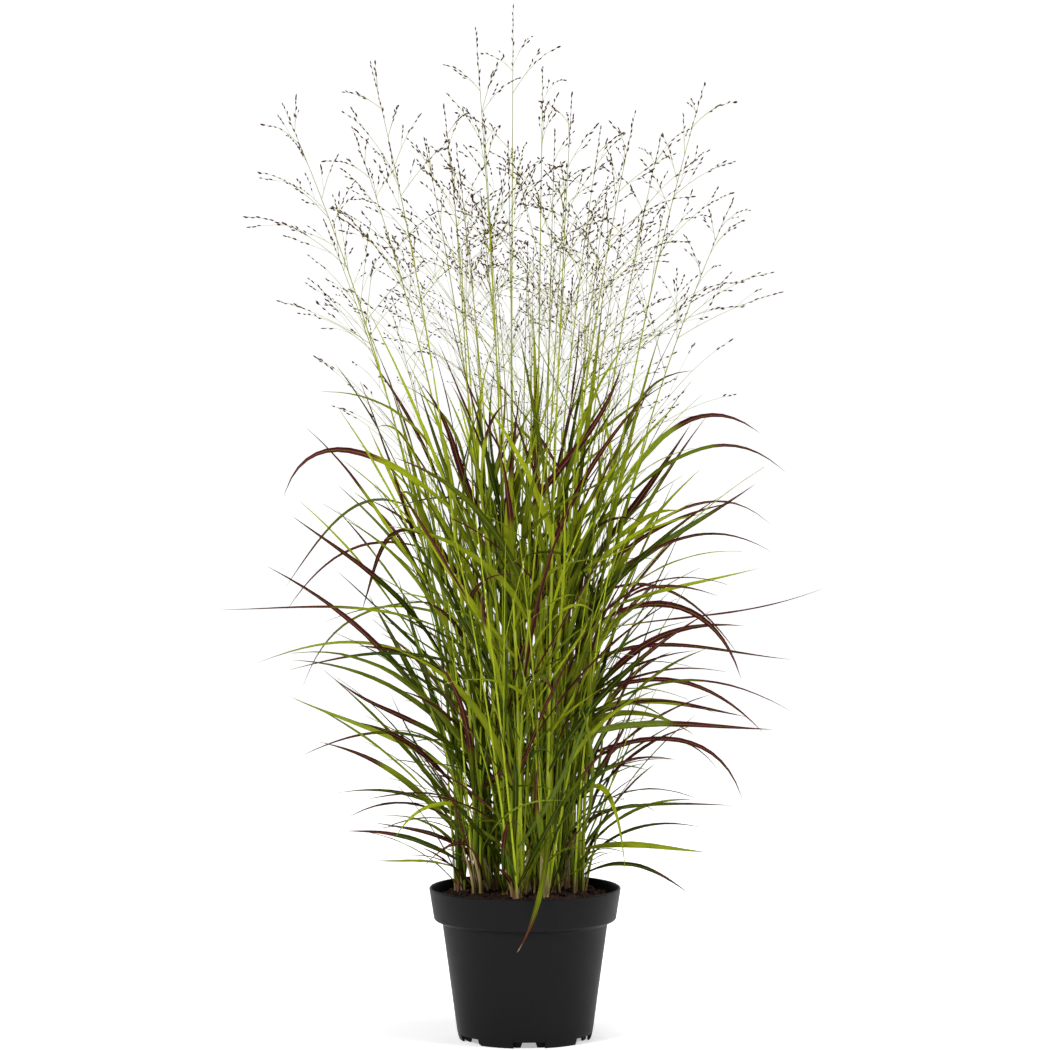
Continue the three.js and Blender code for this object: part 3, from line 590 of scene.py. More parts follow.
class Blade:
    """A leaf blade: a strip along a cubic curve that rolls as it goes, widest about a quarter of the way."""

    def __init__(self, culm, curve, azimuth, width, rolls, red):
        self.culm = culm
        self.curve = curve
        self.width = width
        self.rolls = rolls
        self.red = red
        self.widest = WIDEST
        # A factor on the blade's tone: painted shade below 1, painted light above 1.
        self.painted_shading = 1.0
        self.dry = 0.0
        self.side = np.array([-math.sin(azimuth), math.cos(azimuth), 0])
        start = unit(curve[1] - curve[0])
        end = unit(curve[3] - curve[2])
        bends = math.acos(max(-1, min(1, start @ end))) > SHARP_BEND
        self.stations = BENT_STATIONS if bends else STRAIGHT_STATIONS

    def half_width(self, t, root_share=PACKED_ROOT_SHARE):
        """Half the width at each t: root_share of it at the root and none at the tip."""
        rise = root_share + (1 - root_share) * np.sin(np.clip(t / self.widest, 0, 1) * math.pi / 2)
        fall = 1 - np.power(np.clip((t - self.widest) / (1 - self.widest), 0, 1), 1.7)
        return 0.5 * self.width * np.where(t < self.widest, rise, fall)

    def frames(self, t):
        """The centre, the width's direction and the upper face's direction at each t."""
        p0, p1, p2, p3 = self.curve
        u = t[:, None]
        centre = cubic(self.curve, u)
        along = (p1 - p0) * (1 - u) ** 2 + (p2 - p1) * 2 * u * (1 - u) + (p3 - p2) * u * u
        along = normalised(along)
        flat = normalised(self.side - along * (along @ self.side)[:, None])
        face = np.cross(along, flat)
        roll = mix(self.rolls[0], self.rolls[1], u)
        across = flat * np.cos(roll) + face * np.sin(roll)
        out = face * np.cos(roll) - flat * np.sin(roll)
        return centre, across, out

    def samples(self):
        """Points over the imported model's flat triangles, past the part that is inside the culm."""
        t = np.array(self.stations, float)
        centre, across, _ = self.frames(t)
        half = self.half_width(t)[:, None]
        left = centre + across * half
        right = centre - across * half
        fan = np.arange(ACROSS_STEPS + 1)[None, :, None] / ACROSS_STEPS
        points = []
        for k in range(len(t) - 1):
            steps = math.ceil(np.linalg.norm(left[k + 1] - left[k]) / SAMPLE_STEP)
            part = (np.arange(HIDDEN_STEPS if k == 0 else 0, steps + 1) / steps)[:, None]
            edge = mix(left[k], left[k + 1], part)[:, None, :]
            other = mix(right[k], right[k + 1], part)[:, None, :]
            points.append(mix(edge, other, fan).reshape(-1, 3))
        return np.concatenate(points)


def arc(root, azimuth, length, tilts, swerve):
    """A cubic curve of three equal legs whose tilt goes from one value to another."""
    leg = length / 3
    first = root + leaning(tilts[0], azimuth) * leg
    second = first + leaning((tilts[0] + tilts[1]) / 2, azimuth + swerve / 2) * leg
    tip = second + leaning(tilts[1], azimuth + swerve) * leg
    return [root, first, second, tip]


def arc_between(root, tip, tilts):
    """A cubic curve from root to tip with the given tilts at its ends."""
    azimuth = plan_angle(tip - root)
    turn = abs(tilts[1] - tilts[0])
    circular = 1 / 3 if turn < 0.1 else (2 / 3) * math.tan(turn / 4) / math.sin(turn / 2)
    leg = LEG_STRETCH * circular * np.linalg.norm(tip - root)
    return [root, root + leaning(tilts[0], azimuth) * leg, tip - leaning(tilts[1], azimuth) * leg, tip]


def clears_pot(points):
    """Whether all points stay off the pot's rim and the soil."""
    radius = np.hypot(points[:, 0], points[:, 1])
    z = points[:, 2]
    at_rim = (radius > RIM_ZONE[0]) & (radius < RIM_ZONE[1]) & (z < POT_HEIGHT + RIM_CLEARANCE)
    at_soil = (radius < SOIL_ZONE) & (z < SOIL_Z + SOIL_CLEARANCE)
    return not np.any(at_rim | at_soil)


def nearest_culm(culms, x, y, z):
    """The culm that is leafy at the height z and passes nearest to x and y there."""
    able = [culm for culm in culms if culm.share_at(z) <= culm.leafy_share - SHARE_MARGIN]
    return min(able, key=lambda culm: math.hypot(*(culm.at(culm.share_at(z))[:2] - (x, y))))


def placed(blade, room, blades, held_limit=0):
    """Adds the blade if no more than held_limit of it is in others' cells, and says whether it did."""
    points = blade.samples()
    if room.held_share(points, blade.culm.number + 1) > held_limit or not clears_pot(points):
        return False
    room.fill(points, FIRST_BLADE_OWNER + len(blades))
    blades.append(blade)
    return True


def grow_set_blades(culms, room, blades):
    """The set blades, each moved further at each try until it fits."""
    for n, (rx, ry, rz, tx, ty, tz, root_tilt, tip_tilt, width, red) in enumerate(SET_BLADES):
        for attempt in range(SET_BLADE_TRIES):
            draws = Draws(SET_BLADE_DRAWS, n, attempt)
            reach = attempt * 3
            culm = nearest_culm(culms, rx, ry + reach * draws.between(-1.2, 1.2), rz)
            z = rz + (0 if attempt == 0 else draws.between(-14, 14))
            root = culm.at(culm.share_at(z))
            tip = np.array([tx, ty, tz], float)
            # A tip moves in depth, but sideways where it is at the very front or back.
            tip[1 if abs(ty) < 300 else 0] += reach * draws.between(-1, 1)
            curve = arc_between(root, tip, [math.radians(root_tilt), math.radians(tip_tilt)])
            azimuth = plan_angle(tip - root)
            hand = 1 if n % 2 else -1
            rolls = [hand * draws.angle(25, 60), hand * draws.angle(70, 115)]
            if placed(Blade(culm, curve, azimuth, width, rolls, red), room, blades):
                break


def blade_start(culm, k, height, draws):
    """The root of a culm's blade k, how high up and how near the middle it is, its way out and its hand."""
    z = height + draws.between(-HEIGHT_JITTER, HEIGHT_JITTER)
    root = culm.at(culm.share_at(z))
    up = (z - SOIL_Z) / LEAFY_HEIGHT
    inner = max(0, 1 - plan_length(root) / INNER_RADIUS)
    outward = plan_angle(root)
    hand = 1 if (k + culm.number) % 2 else -1
    return root, up, inner, outward, hand


def drawn_blade(culm, k, height, attempt):
    """A blade that arches outwards, longest and widest about half-way up the leafy part."""
    draws = Draws(BLADE_DRAWS, culm.number, k, attempt)
    root, up, inner, outward, hand = blade_start(culm, k, height, draws)
    fan = math.radians(75 + 105 * inner) * draws.between(0, 1)
    azimuth = outward + hand * fan + draws.angle(-25, 25)
    swell = math.sin(math.pi * min(1, 0.2 + 0.62 * up))
    length = 110 + 210 * swell * draws.between(0.7, 1.15)
    width = (4 + 5 * swell) * draws.between(0.75, 1.15)
    root_tilt = draws.between(16, 36) - 14 * up
    droop = max(0, draws.between(-1, 1)) ** 2
    tip_tilt = draws.between(26, 62) - 14 * up + 16 * (1 - up) + 60 * droop
    swerve = draws.angle(-35, 35)
    curve = arc(root, azimuth, length, [math.radians(root_tilt), math.radians(tip_tilt)], swerve)
    rolls = [draws.angle(-70, 70), draws.angle(-110, 110)]
    return Blade(culm, curve, azimuth, width, rolls, max(0, draws.between(-1.6, 0.9)) ** 0.8)


def grow_drawn_blades(culms, room, blades):
    """Blades at even heights up each culm, where one of the tries fits."""
    for culm in culms:
        height = SOIL_Z + FIRST_BLADE_HEIGHT
        k = 0
        while height < culm.leaf_top():
            for attempt in range(BLADE_TRIES):
                if placed(drawn_blade(culm, k, height, attempt), room, blades):
                    break
            k += 1
            height += BLADE_SPACING


class Branch:
    """A main branch of a panicle, from its stem out to its furthest grain."""

    def __init__(self, culm, root, tip):
        self.culm = culm
        self.root = root
        self.tip = tip

    def samples(self):
        """Points along it, past the part that is inside the stem."""
        steps = math.ceil(np.linalg.norm(self.tip - self.root) / SAMPLE_STEP)
        return mix(self.root, self.tip, (np.arange(2, steps + 1) / steps)[:, None])


def drawn_branch(culm, k, attempt, stream=BRANCH_DRAWS, count=BRANCHES_A_PANICLE):
    """Branch k of count up a panicle. They get shorter upwards and go round it by the golden angle."""
    draws = Draws(stream, culm.number, k, attempt)
    up = (k + draws.between(0.1, 0.9)) / count
    share = mix(culm.leafy_share + SHARE_MARGIN, 0.97, up)
    root = culm.at(share)
    outward = plan_angle(culm.top)
    azimuth = outward + k * GOLDEN_ANGLE + draws.angle(-45, 45)
    length = mix(168, 44, up) * draws.between(0.75, 1.08)
    tilt = draws.angle(30, 66)
    tip = root + culm.slope(share) * length * math.cos(tilt)
    tip = tip + leaning(math.pi / 2, azimuth) * length * math.sin(tilt)
    return Branch(culm, root, tip)


def grow_branches(culms, room):
    """The branches of each panicle, where one of the tries fits."""
    branches = []
    for culm in [each for each in culms if each.flowers]:
        owner = FIRST_PANICLE_OWNER + culm.number
        for k in range(BRANCHES_A_PANICLE):
            for attempt in range(BRANCH_TRIES):
                branch = drawn_branch(culm, k, attempt)
                points = branch.samples()
                if room.held_share(points, owner) > 0:
                    continue
                room.fill(points, owner)
                branches.append(branch)
                break
    return branches


def grow_plant():
    """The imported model's plant: the room with all of it in, its culms, its blades and its branches."""
    room = Room()
    culms = grow_culms()
    for culm in culms:
        steps = math.ceil((culm.top[2] - culm.base[2]) / SAMPLE_STEP)
        for i in range(steps + 1):
            share = i / steps
            leafy = share < culm.leafy_share
            owner = culm.number + 1 if leafy else FIRST_PANICLE_OWNER + culm.number
            room.fill(culm.at(share)[None, :], owner)
    blades = []
    grow_set_blades(culms, room, blades)
    grow_drawn_blades(culms, room, blades)
    branches = grow_branches(culms, room)
    return room, culms, blades, branches


class Shape:
    """The points, faces and painted values of one mesh."""

    def __init__(self, painted):
        self.points = []
        self.faces = []
        self.painted = {name: [] for name in painted}
        self.count = 0

    def add(self, points, faces, **values):
        """Adds points, groups of faces numbered from the first of them, and their painted values."""
        points = np.asarray(points).reshape(-1, 3)
        for group in faces:
            self.faces.extend((np.asarray(group) + self.count).tolist())
        for name, rows in self.painted.items():
            value = np.asarray(values.get(name, 0.0), float).reshape(-1)
            rows.append(np.broadcast_to(value, (len(points),)))
        self.points.append(points)
        self.count += len(points)

    def build(self, name, material, sharp=50):
        """The object. Edges of more than sharp degrees stay sharp."""
        mesh = bpy.data.meshes.new(name)
        mesh.from_pydata((np.concatenate(self.points) * MM).tolist(), [], self.faces)
        mesh.validate()
        mesh.shade_smooth()
        mesh.set_sharp_from_angle(angle=math.radians(sharp))
        for label, rows in self.painted.items():
            layer = mesh.attributes.new(label, "FLOAT", "POINT")
            layer.data.foreach_set("value", np.concatenate(rows).astype(np.float32))
        mesh.materials.append(material)
        return linked(name, mesh)


def linked(name, data):
    """A new object of the scene."""
    made = bpy.data.objects.new(name, data)
    bpy.context.collection.objects.link(made)
    return made


def ring_faces(rings, sides):
    """The side faces of rings joined one to the next."""
    low = np.arange(rings - 1)[:, None] * sides
    here = np.arange(sides)[None, :]
    after = (here + 1) % sides
    return np.stack([low + here, low + after, low + sides + after, low + sides + here], -1).reshape(-1, 4)


def tube_faces(rings, sides):
    """The side faces of rings joined one to the next, and both end faces."""
    foot = np.arange(sides)[::-1][None]
    return [ring_faces(rings, sides), foot, (np.arange(sides) + (rings - 1) * sides)[None]]


def many(faces, count, size):
    """The same faces for each of count pieces of size points."""
    return (faces[None] + np.arange(count)[:, None, None] * size).reshape(-1, faces.shape[1])


def tubes(paths, radii, sides):
    """Round stalks along paths: points of each path by ring and side, and their faces."""
    count, rings = paths.shape[:2]
    along = np.gradient(paths, axis=1)
    along /= np.linalg.norm(along, axis=2)[:, :, None]
    whole = paths[:, -1] - paths[:, 0]
    upright = np.abs(whole[:, 2]) > 0.8 * np.linalg.norm(whole, axis=1)
    # A direction that the path doesn't follow.
    guide = np.where(upright[:, None], np.array([0.9, 0.43, 0.0]), np.array([0.0, 0.0, 1.0]))
    side = np.cross(guide[:, None, :], along)
    side /= np.linalg.norm(side, axis=2)[:, :, None]
    up = np.cross(along, side)
    angle = np.arange(sides) * 2 * math.pi / sides
    spread = side[:, :, None, :] * np.cos(angle)[:, None] + up[:, :, None, :] * np.sin(angle)[:, None]
    points = paths[:, :, None, :] + spread * radii[:, :, None, None]
    return points, [many(group, count, rings * sides) for group in tube_faces(rings, sides)]


def grains(starts, directions, lengths, radii):
    """Spindles with a point at each end: points and faces."""
    sides = GRAIN_SIDES
    count = len(starts)
    guide = np.array([0.36, 0.48, 0.8])
    side = normalised(np.cross(directions, guide))
    up = np.cross(directions, side)
    angle = np.arange(sides) * 2 * math.pi / sides
    spread = side[:, None] * np.cos(angle)[:, None] + up[:, None] * np.sin(angle)[:, None]
    rows = [starts[:, None]]
    for part, thick in ((0.3, 0.95), (0.68, 0.72)):
        middle = starts + directions * (lengths * part)[:, None]
        rows.append(middle[:, None] + spread * (radii * thick)[:, None, None])
    rows.append((starts + directions * lengths[:, None])[:, None])
    points = np.concatenate(rows, 1)
    here = np.arange(sides)
    after = (here + 1) % sides
    size = 2 * sides + 2
    foot = np.stack([np.zeros(sides, int), 1 + after, 1 + here], -1)
    belt = np.stack([1 + here, 1 + after, 1 + sides + after, 1 + sides + here], -1)
    head = np.stack([1 + sides + here, 1 + sides + after, np.full(sides, size - 1)], -1)
    return points, [many(foot, count, size), many(belt, count, size), many(head, count, size)]


def add_blade(shape, blade, rng):
    """A blade folded along its midrib, with a wavy edge and a closed tip. It starts on the curved stem."""
    t = BLADE_T
    centre, across, out = blade.frames(t)
    share = blade.culm.share_at(blade.curve[0][2])
    drift = blade.culm.curve_at(share) - blade.curve[0]
    centre = centre + drift * ((1 - t) ** 3)[:, None]
    half = BLADE_SLIMMING * blade.half_width(t, ROOT_SHARE)
    fold = half * (BLADE_FOLD + ROOT_FOLD * np.exp(-t / ROOT_FOLD_REACH))
    waves = rng.uniform(3, 6)
    phase = rng.uniform(0, 2 * math.pi, 2)
    swing = EDGE_WAVE * half * stretch(0.05, 0.3, t)
    left = swing * np.sin(waves * 2 * math.pi * t + phase[0])
    right = swing * np.sin(waves * 2 * math.pi * t + phase[1])
    x = BLADE_X[None, :]
    wave = np.where(x < 0, left[:, None], right[:, None]) * x * x
    rib = np.where(BLADE_X == 0, 1.5, 1.0)[None, :]
    height = wave - fold[:, None] * (1 - np.abs(x) ** 1.3) - BLADE_UNDER * BLADE_THICK * rib
    spread = across[:, None] * (half[:, None] * x)[:, :, None]
    points = centre[:, None] + spread + out[:, None] * height[:, :, None]
    red_from = 1 - 1.15 * blade.red
    along = np.broadcast_to(t[:, None], height.shape)
    shape.add(
        points,
        tube_faces(len(t), len(BLADE_X)),
        along=along,
        across=np.broadcast_to(x, along.shape),
        # The tone is drawn at random and multiplied by the blade's painted shading.
        tone=rng.uniform(0, 1) * blade.painted_shading,
        red=stretch(red_from - 0.16, red_from + 0.16, along) * min(1, 3 * blade.red),
        dry=np.maximum(stretch(1 - rng.uniform(0.0, 0.16), 1.04, along), blade.dry),
    )


def add_stalk(shape, path, radii, sides, along, red, rng):
    """A round green stalk along a path."""
    points, faces = tubes(path[None], radii[None], sides)
    turns = np.arange(sides) * 2 * math.pi / sides
    shape.add(
        points,
        faces,
        along=np.repeat(along, sides),
        across=np.tile(np.cos(turns), len(path)),
        tone=STEM_TONE * rng.uniform(0, 1),
        red=np.repeat(red, sides),
        stem=1,
    )


def add_culm(shape, culm, collars, rng):
    """A jointed stem in its sheaths: each sheath ends with a step at the collar of its leaf."""
    end = culm.leafy_share
    stations = list(np.linspace(0, end, CULM_STATIONS))
    nodes = []
    for collar in collars:
        stations += [collar - COLLAR_REACH, collar + COLLAR_REACH]
        node = collar - rng.uniform(*NODE_DROPS)
        if node > LOWEST_NODE:
            nodes.append(node)
            stations += [node - NODE_REACH, node, node + NODE_REACH]
    stations = np.unique(np.clip(stations, 0, end))
    path = np.array([culm.curve_at(share) for share in stations])
    radii = mix(*CULM_RADII, stations / end)
    above = np.array([sum(collar > share for collar in collars) for share in stations])
    radii = radii + SHEATH_STEP * np.minimum(above, 1) + LAYER_STEP * np.minimum(above, LAYERS)
    red = 0.9 * (1 - stretch(*CULM_FOOT, path[:, 2])) * rng.uniform(0.4, 1)
    for node in nodes:
        near = np.exp(-(((stations - node) / NODE_REACH) ** 2))
        radii = radii + NODE_BULGE * near
        red = np.maximum(red, 0.4 * near)
    radii[-1] *= 0.6
    add_stalk(shape, path, radii, CULM_SIDES, stations, red, rng)


def add_shoot(shape, culm, rng):
    """A rolled young leaf: a thin lime stalk from the soil that leans its own way and ends in a point."""
    root = culm.at(culm.share_at(SOIL_Z + 2)) + [rng.uniform(-4, 4), rng.uniform(-4, 4), 0]
    azimuth = plan_angle(root) + rng.uniform(-2.0, 2.0)
    lean = math.radians(rng.uniform(*SHOOT_LEANS))
    tilts = [0.5 * lean, 1.4 * lean]
    curve = arc(root, azimuth, rng.uniform(*SHOOT_LENGTHS), tilts, rng.uniform(-0.5, 0.5))
    t = np.linspace(0, 1, SHOOT_STATIONS)
    path = cubic(curve, t[:, None])
    red = 1 - stretch(*SHOOT_FOOT, path[:, 2])
    add_stalk(shape, path, mix(*SHOOT_RADII, t ** 1.6), SHOOT_SIDES, t, red, rng)


def bowed(roots, tips, sag, count):
    """Curves from roots to tips that bow by sag at their middle."""
    part = np.linspace(0, 1, count)[None, :, None]
    straight = mix(roots[:, None], tips[:, None], part)
    return straight + 4 * part * (1 - part) * sag[:, None]


def turned_from(directions, tilts, turns):
    """Directions that lean by tilts from the given ones, each in its own turn about it."""
    side = normalised(np.cross(directions, np.array([0.21, 0.33, 0.92])))
    up = np.cross(directions, side)
    lean = side * np.cos(turns)[:, None] + up * np.sin(turns)[:, None]
    return directions * np.cos(tilts)[:, None] + lean * np.sin(tilts)[:, None]


def inside_box(points):
    """Which points are inside the box that the added leaves and branches keep to."""
    return np.all(np.abs(points[..., :2]) < SPREAD_LIMIT, axis=-1) & (points[..., 2] < TOP_LIMIT)


def strung(path, first, rng):
    """Uneven places along a path, from the share first to its end, with the path's direction at each."""
    steps = np.linalg.norm(np.diff(path, axis=0), axis=1)
    run = np.concatenate([[0], np.cumsum(steps)])
    places = np.arange(run[-1] * first, run[-1] - 2, GRAIN_SPACING)
    places = places + rng.uniform(-1.6, 1.6, len(places))
    places = np.append(np.clip(places, 0, run[-1] - 1), run[-1])
    points = np.stack([np.interp(places, run, path[:, i]) for i in range(3)], -1)
    low = np.clip(np.searchsorted(run, places) - 1, 0, len(path) - 2)
    return points, normalised(path[low + 1] - path[low])


def richness(path):
    """How dense a branch's grains are by the height of its tip: 0 low in the seed heads, 1 near the top."""
    return float(stretch(*RICH_HEIGHTS, path[-1, 2]))


def first_grain(path):
    """The share of a branch that is bare: most of it low in the seed heads, less near their tops."""
    return mix(*BARE_SHARES, richness(path))


def add_strands(shape, paths, radii, sides, rng, green):
    """Thin stalks along paths, all of one set of radii."""
    points, faces = tubes(paths, np.repeat(radii[None], len(paths), 0), sides)
    shape.add(points, faces, tone=rng.uniform(0, 1), green=green)


def add_grains(shape, strings, rng):
    """A grain on a short stalk at each place of the strings, and one at the end of each string."""
    roots = np.concatenate([points for points, _ in strings])
    ways = np.concatenate([directions for _, directions in strings])
    ends = np.cumsum([len(points) for points, _ in strings]) - 1
    count = len(roots)
    tilts = rng.uniform(*GRAIN_TILTS, count)
    tilts[ends] = 0.05
    ways = turned_from(ways, tilts, rng.uniform(0, 2 * math.pi, count))
    stalks = rng.uniform(*GRAIN_STALKS, count)
    stalks[ends] = 0.4
    tops = roots + ways * stalks[:, None]
    radii = np.full((count, 2), GRAIN_STALK_RADIUS)
    points, faces = tubes(np.stack([roots, tops], 1), radii, GRAIN_STALK_SIDES)
    shape.add(points, faces, tone=rng.uniform(0, 1), green=0.1)
    away = np.hypot(roots[:, 0], roots[:, 1])
    ripe = np.maximum(stretch(*RIPE_HEIGHTS, roots[:, 2]), stretch(*RIPE_RADII, away))
    lengths = rng.uniform(*GRAIN_LENGTHS, count) * mix(*GRAIN_GROWTH, ripe)
    points, faces = grains(tops, ways, lengths, lengths * rng.uniform(*GRAIN_SLIMNESS, count))
    shape.add(points, faces, grain=1, tone=np.repeat(rng.uniform(0, 1, count), points.shape[1]))


def arched(roots, tips, rise, count):
    """Curves from roots to tips that arch upwards by rise."""
    return bowed(roots, tips, np.stack([0 * rise, 0 * rise, rise], -1), count)


def branch_paths(culm, branches, rng):
    """The arched branches of a panicle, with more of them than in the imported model, and their lengths."""
    outer = float(stretch(*OUTER_RADII, plan_length(culm.top)))
    more = round(mix(MIDDLE_EXTRA_BRANCHES, OUTER_EXTRA_BRANCHES, outer))
    extra = [drawn_branch(culm, k, 0, EXTRA_BRANCH_DRAWS, more) for k in range(more)]
    every = branches + [branch for branch in extra if inside_box(branch.tip)]
    roots = np.array([culm.curve_at(culm.share_at(branch.root[2])) for branch in every])
    tips = np.array([branch.tip for branch in every])
    lengths = np.linalg.norm(tips - roots, axis=1)
    rise = lengths * rng.uniform(0.04, 0.13, len(every))
    return arched(roots, tips, rise, BRANCH_STATIONS), lengths


def twig_paths(paths, lengths, rng):
    """Twigs that leave the branches forwards, shorter further out."""
    last = BRANCH_STATIONS - 1
    roots = []
    ways = []
    reaches = []
    for path, length in zip(paths, lengths):
        count = max(1, round(length / TWIG_SPACING * mix(0.4, 1.1, richness(path))))
        part = np.linspace(0.2, 0.62, count) + rng.uniform(-0.06, 0.06, count)
        place = np.clip(part * last, 0, last - 0.1)
        low = place.astype(int)
        roots.append(mix(path[low], path[low + 1], (place - low)[:, None]))
        ways.append(normalised(path[low + 1] - path[low]))
        reaches.append(length * (1 - 0.75 * part) * rng.uniform(0.35, 0.62, count))
    roots = np.concatenate(roots)
    ways = np.concatenate(ways)
    reaches = np.concatenate(reaches)
    count = len(roots)
    ways = turned_from(ways, rng.uniform(0.2, 0.5, count), rng.uniform(0, 2 * math.pi, count))
    tips = roots + ways * reaches[:, None]
    rise = rng.uniform(-0.04, 0.09, count) * reaches
    return arched(roots, tips, rise, TWIG_STATIONS)[inside_box(tips)]


def add_panicle(shape, culm, branches, rng):
    """A seed head: its axis, arched branches, twigs along them, and grains strung along all three."""
    shares = np.linspace(culm.leafy_share + 0.001, 0.993, AXIS_STATIONS)
    axis = np.array([culm.curve_at(share) for share in shares])
    radii = mix(*AXIS_RADII, np.linspace(0, 1, AXIS_STATIONS) ** 0.7)
    green = np.repeat(np.linspace(1, 0.2, AXIS_STATIONS), AXIS_SIDES)
    add_strands(shape, axis[None], radii, AXIS_SIDES, rng, green)
    strings = [strung(axis, FIRST_AXIS_GRAIN, rng)]
    paths, lengths = branch_paths(culm, branches, rng)
    add_strands(shape, paths, np.linspace(*BRANCH_RADII, BRANCH_STATIONS), BRANCH_SIDES, rng, 0.6)
    strings += [strung(path, first_grain(path) + rng.uniform(-0.1, 0.1), rng) for path in paths]
    twigs = twig_paths(paths, lengths, rng)
    add_strands(shape, twigs, np.linspace(*TWIG_RADII, TWIG_STATIONS), TWIG_SIDES, rng, 0.25)
    strings += [strung(path, first_grain(path) + rng.uniform(-0.14, 0.14), rng) for path in twigs]
    add_grains(shape, strings, rng)


def add_node(tree, kind, inputs=(), **settings):
    """A shader node with its settings and its inputs, each a value or another node's output."""
    node = tree.nodes.new(kind)
    for name, value in settings.items():
        setattr(node, name, value)
    for key, value in dict(inputs).items():
        if isinstance(value, bpy.types.NodeSocket):
            tree.links.new(value, node.inputs[key])
        else:
            node.inputs[key].default_value = value
    return node


def painted(tree, name):
    """The value of that name painted on the mesh."""
    node = add_node(tree, "ShaderNodeAttribute", attribute_type="GEOMETRY", attribute_name=name)
    return node.outputs["Fac"]


def blended(tree, factor, low, high):
    """A colour between low and high."""
    low = low if isinstance(low, bpy.types.NodeSocket) else (*low, 1)
    high = high if isinstance(high, bpy.types.NodeSocket) else (*high, 1)
    return add_node(tree, "ShaderNodeMix", {0: factor, 6: low, 7: high}, data_type="RGBA").outputs[2]


def computed(tree, operation, first, second=0.0, third=0.0):
    """The result of a sum. MULTIPLY_ADD is first times second plus third."""
    return add_node(tree, "ShaderNodeMath", {0: first, 1: second, 2: third}, operation=operation).outputs[0]


def ranged(tree, value, low, high, to_low=0.0, to_high=1.0):
    """The value carried smoothly from the range low to high to the range to_low to to_high."""
    inputs = {"Value": value, "From Min": low, "From Max": high, "To Min": to_low, "To Max": to_high}
    return add_node(tree, "ShaderNodeMapRange", inputs, interpolation_type="SMOOTHSTEP").outputs[0]


def noise(tree, vector, scale, detail, roughness=0.5):
    """The value of a cloudy noise at each place."""
    inputs = {"Vector": vector, "Scale": scale, "Detail": detail, "Roughness": roughness}
    return add_node(tree, "ShaderNodeTexNoise", inputs).outputs[0]


def leaf_place(tree, across, along, apart):
    """A place for noise, from values across and along a leaf and one that sets the leaves apart."""
    return add_node(tree, "ShaderNodeCombineXYZ", {0: across, 1: along, 2: apart}).outputs[0]


def solid(tree, colour, roughness, specular, relief=None):
    """A surface of this colour. Relief gives its bumps' height, their strength and their depth in metres."""
    inputs = {"Base Color": colour, "Roughness": roughness, "Specular IOR Level": specular}
    if relief:
        bump = dict(zip(("Height", "Strength", "Distance"), relief))
        inputs["Normal"] = add_node(tree, "ShaderNodeBump", bump).outputs[0]
    return add_node(tree, "ShaderNodeBsdfPrincipled", inputs).outputs[0]


def new_material(name):
    """A material without nodes, and its node tree."""
    material = bpy.data.materials.new(name)
    material.use_nodes = True
    material.node_tree.nodes.clear()
    return material, material.node_tree


def surfaced(tree, shader):
    """Makes the shader the surface of its material."""
    add_node(tree, "ShaderNodeOutputMaterial", {"Surface": shader})


def place_of(tree):
    """The place on the object, in metres."""
    return add_node(tree, "ShaderNodeTexCoord").outputs["Object"]


def foliage_material():
    """Green blades with a pale midrib and maroon streaks near the tip, and lime stems with a pink foot."""
    material, tree = new_material("foliage")
    along = painted(tree, "along")
    across = painted(tree, "across")
    # The tone holds each blade's random tone times its painted shade and light, so the leaf's lightness below
    # carries both.
    tone = painted(tree, "tone")
    stem = painted(tree, "stem")
    red = painted(tree, "red")
    strip = (computed(tree, "MULTIPLY", across, 5.0), along, computed(tree, "MULTIPLY", tone, 60.0))
    streaks = noise(tree, leaf_place(tree, *strip), 2.4, 4.0)
    patches = noise(tree, place_of(tree), 22.0, 2.0)
    veins = (computed(tree, "MULTIPLY", across, 16.0), 0.0, computed(tree, "MULTIPLY", tone, 40.0))
    fine = noise(tree, leaf_place(tree, *veins), 2.0, 1.0)
    light = computed(tree, "MULTIPLY_ADD", tone, 0.85, computed(tree, "MULTIPLY", patches, 0.4))
    light = ranged(tree, light, 0.15, 1.05)
    green = blended(tree, light, DARK_LEAF, LIGHT_LEAF)
    hue = computed(tree, "FRACT", computed(tree, "MULTIPLY", tone, 37.0))
    green = blended(tree, ranged(tree, hue, 0.7, 0.95, 0.0, 0.5), green, BLUISH_LEAF)
    green = blended(tree, ranged(tree, fine, 0.35, 0.75, 0.0, 0.3), green, LEAF_VEIN)
    maroon = blended(tree, ranged(tree, streaks, 0.4, 0.65), DARK_MAROON, LIGHT_MAROON)
    purple = computed(tree, "MULTIPLY_ADD", red, 1.5, -1.1)
    purple = computed(tree, "MULTIPLY_ADD", streaks, 1.3, purple)
    leaf = blended(tree, ranged(tree, purple, 0.05, 0.55), green, maroon)
    rib = ranged(tree, computed(tree, "ABSOLUTE", across), 0.04, 0.14, 0.4, 0.0)
    leaf = blended(tree, rib, leaf, LEAF_RIB)
    dry = computed(tree, "SUBTRACT", painted(tree, "dry"), 0.5)
    dry = computed(tree, "MULTIPLY_ADD", streaks, 0.8, dry)
    leaf = blended(tree, ranged(tree, dry, 0.3, 0.7), leaf, STRAW)
    above = ranged(tree, along, 0.3, 0.6, 0.0, 0.6)
    lime = blended(tree, computed(tree, "MAXIMUM", light, above), DARK_STEM, LIGHT_STEM)
    foot = blended(tree, tone, PINK_FOOT, PALE_FOOT)
    sheath = blended(tree, ranged(tree, red, 0.1, 0.8, 0.0, 0.9), lime, foot)
    colour = blended(tree, stem, leaf, sheath)
    body = solid(tree, colour, 0.5, 0.05, (fine, 0.25, 0.0006))
    through = add_node(tree, "ShaderNodeBsdfTranslucent", {"Color": colour}).outputs[0]
    share = ranged(tree, stem, 0.0, 1.0, 0.16, 0.04)
    surfaced(tree, add_node(tree, "ShaderNodeMixShader", {0: share, 1: body, 2: through}).outputs[0])
    return material


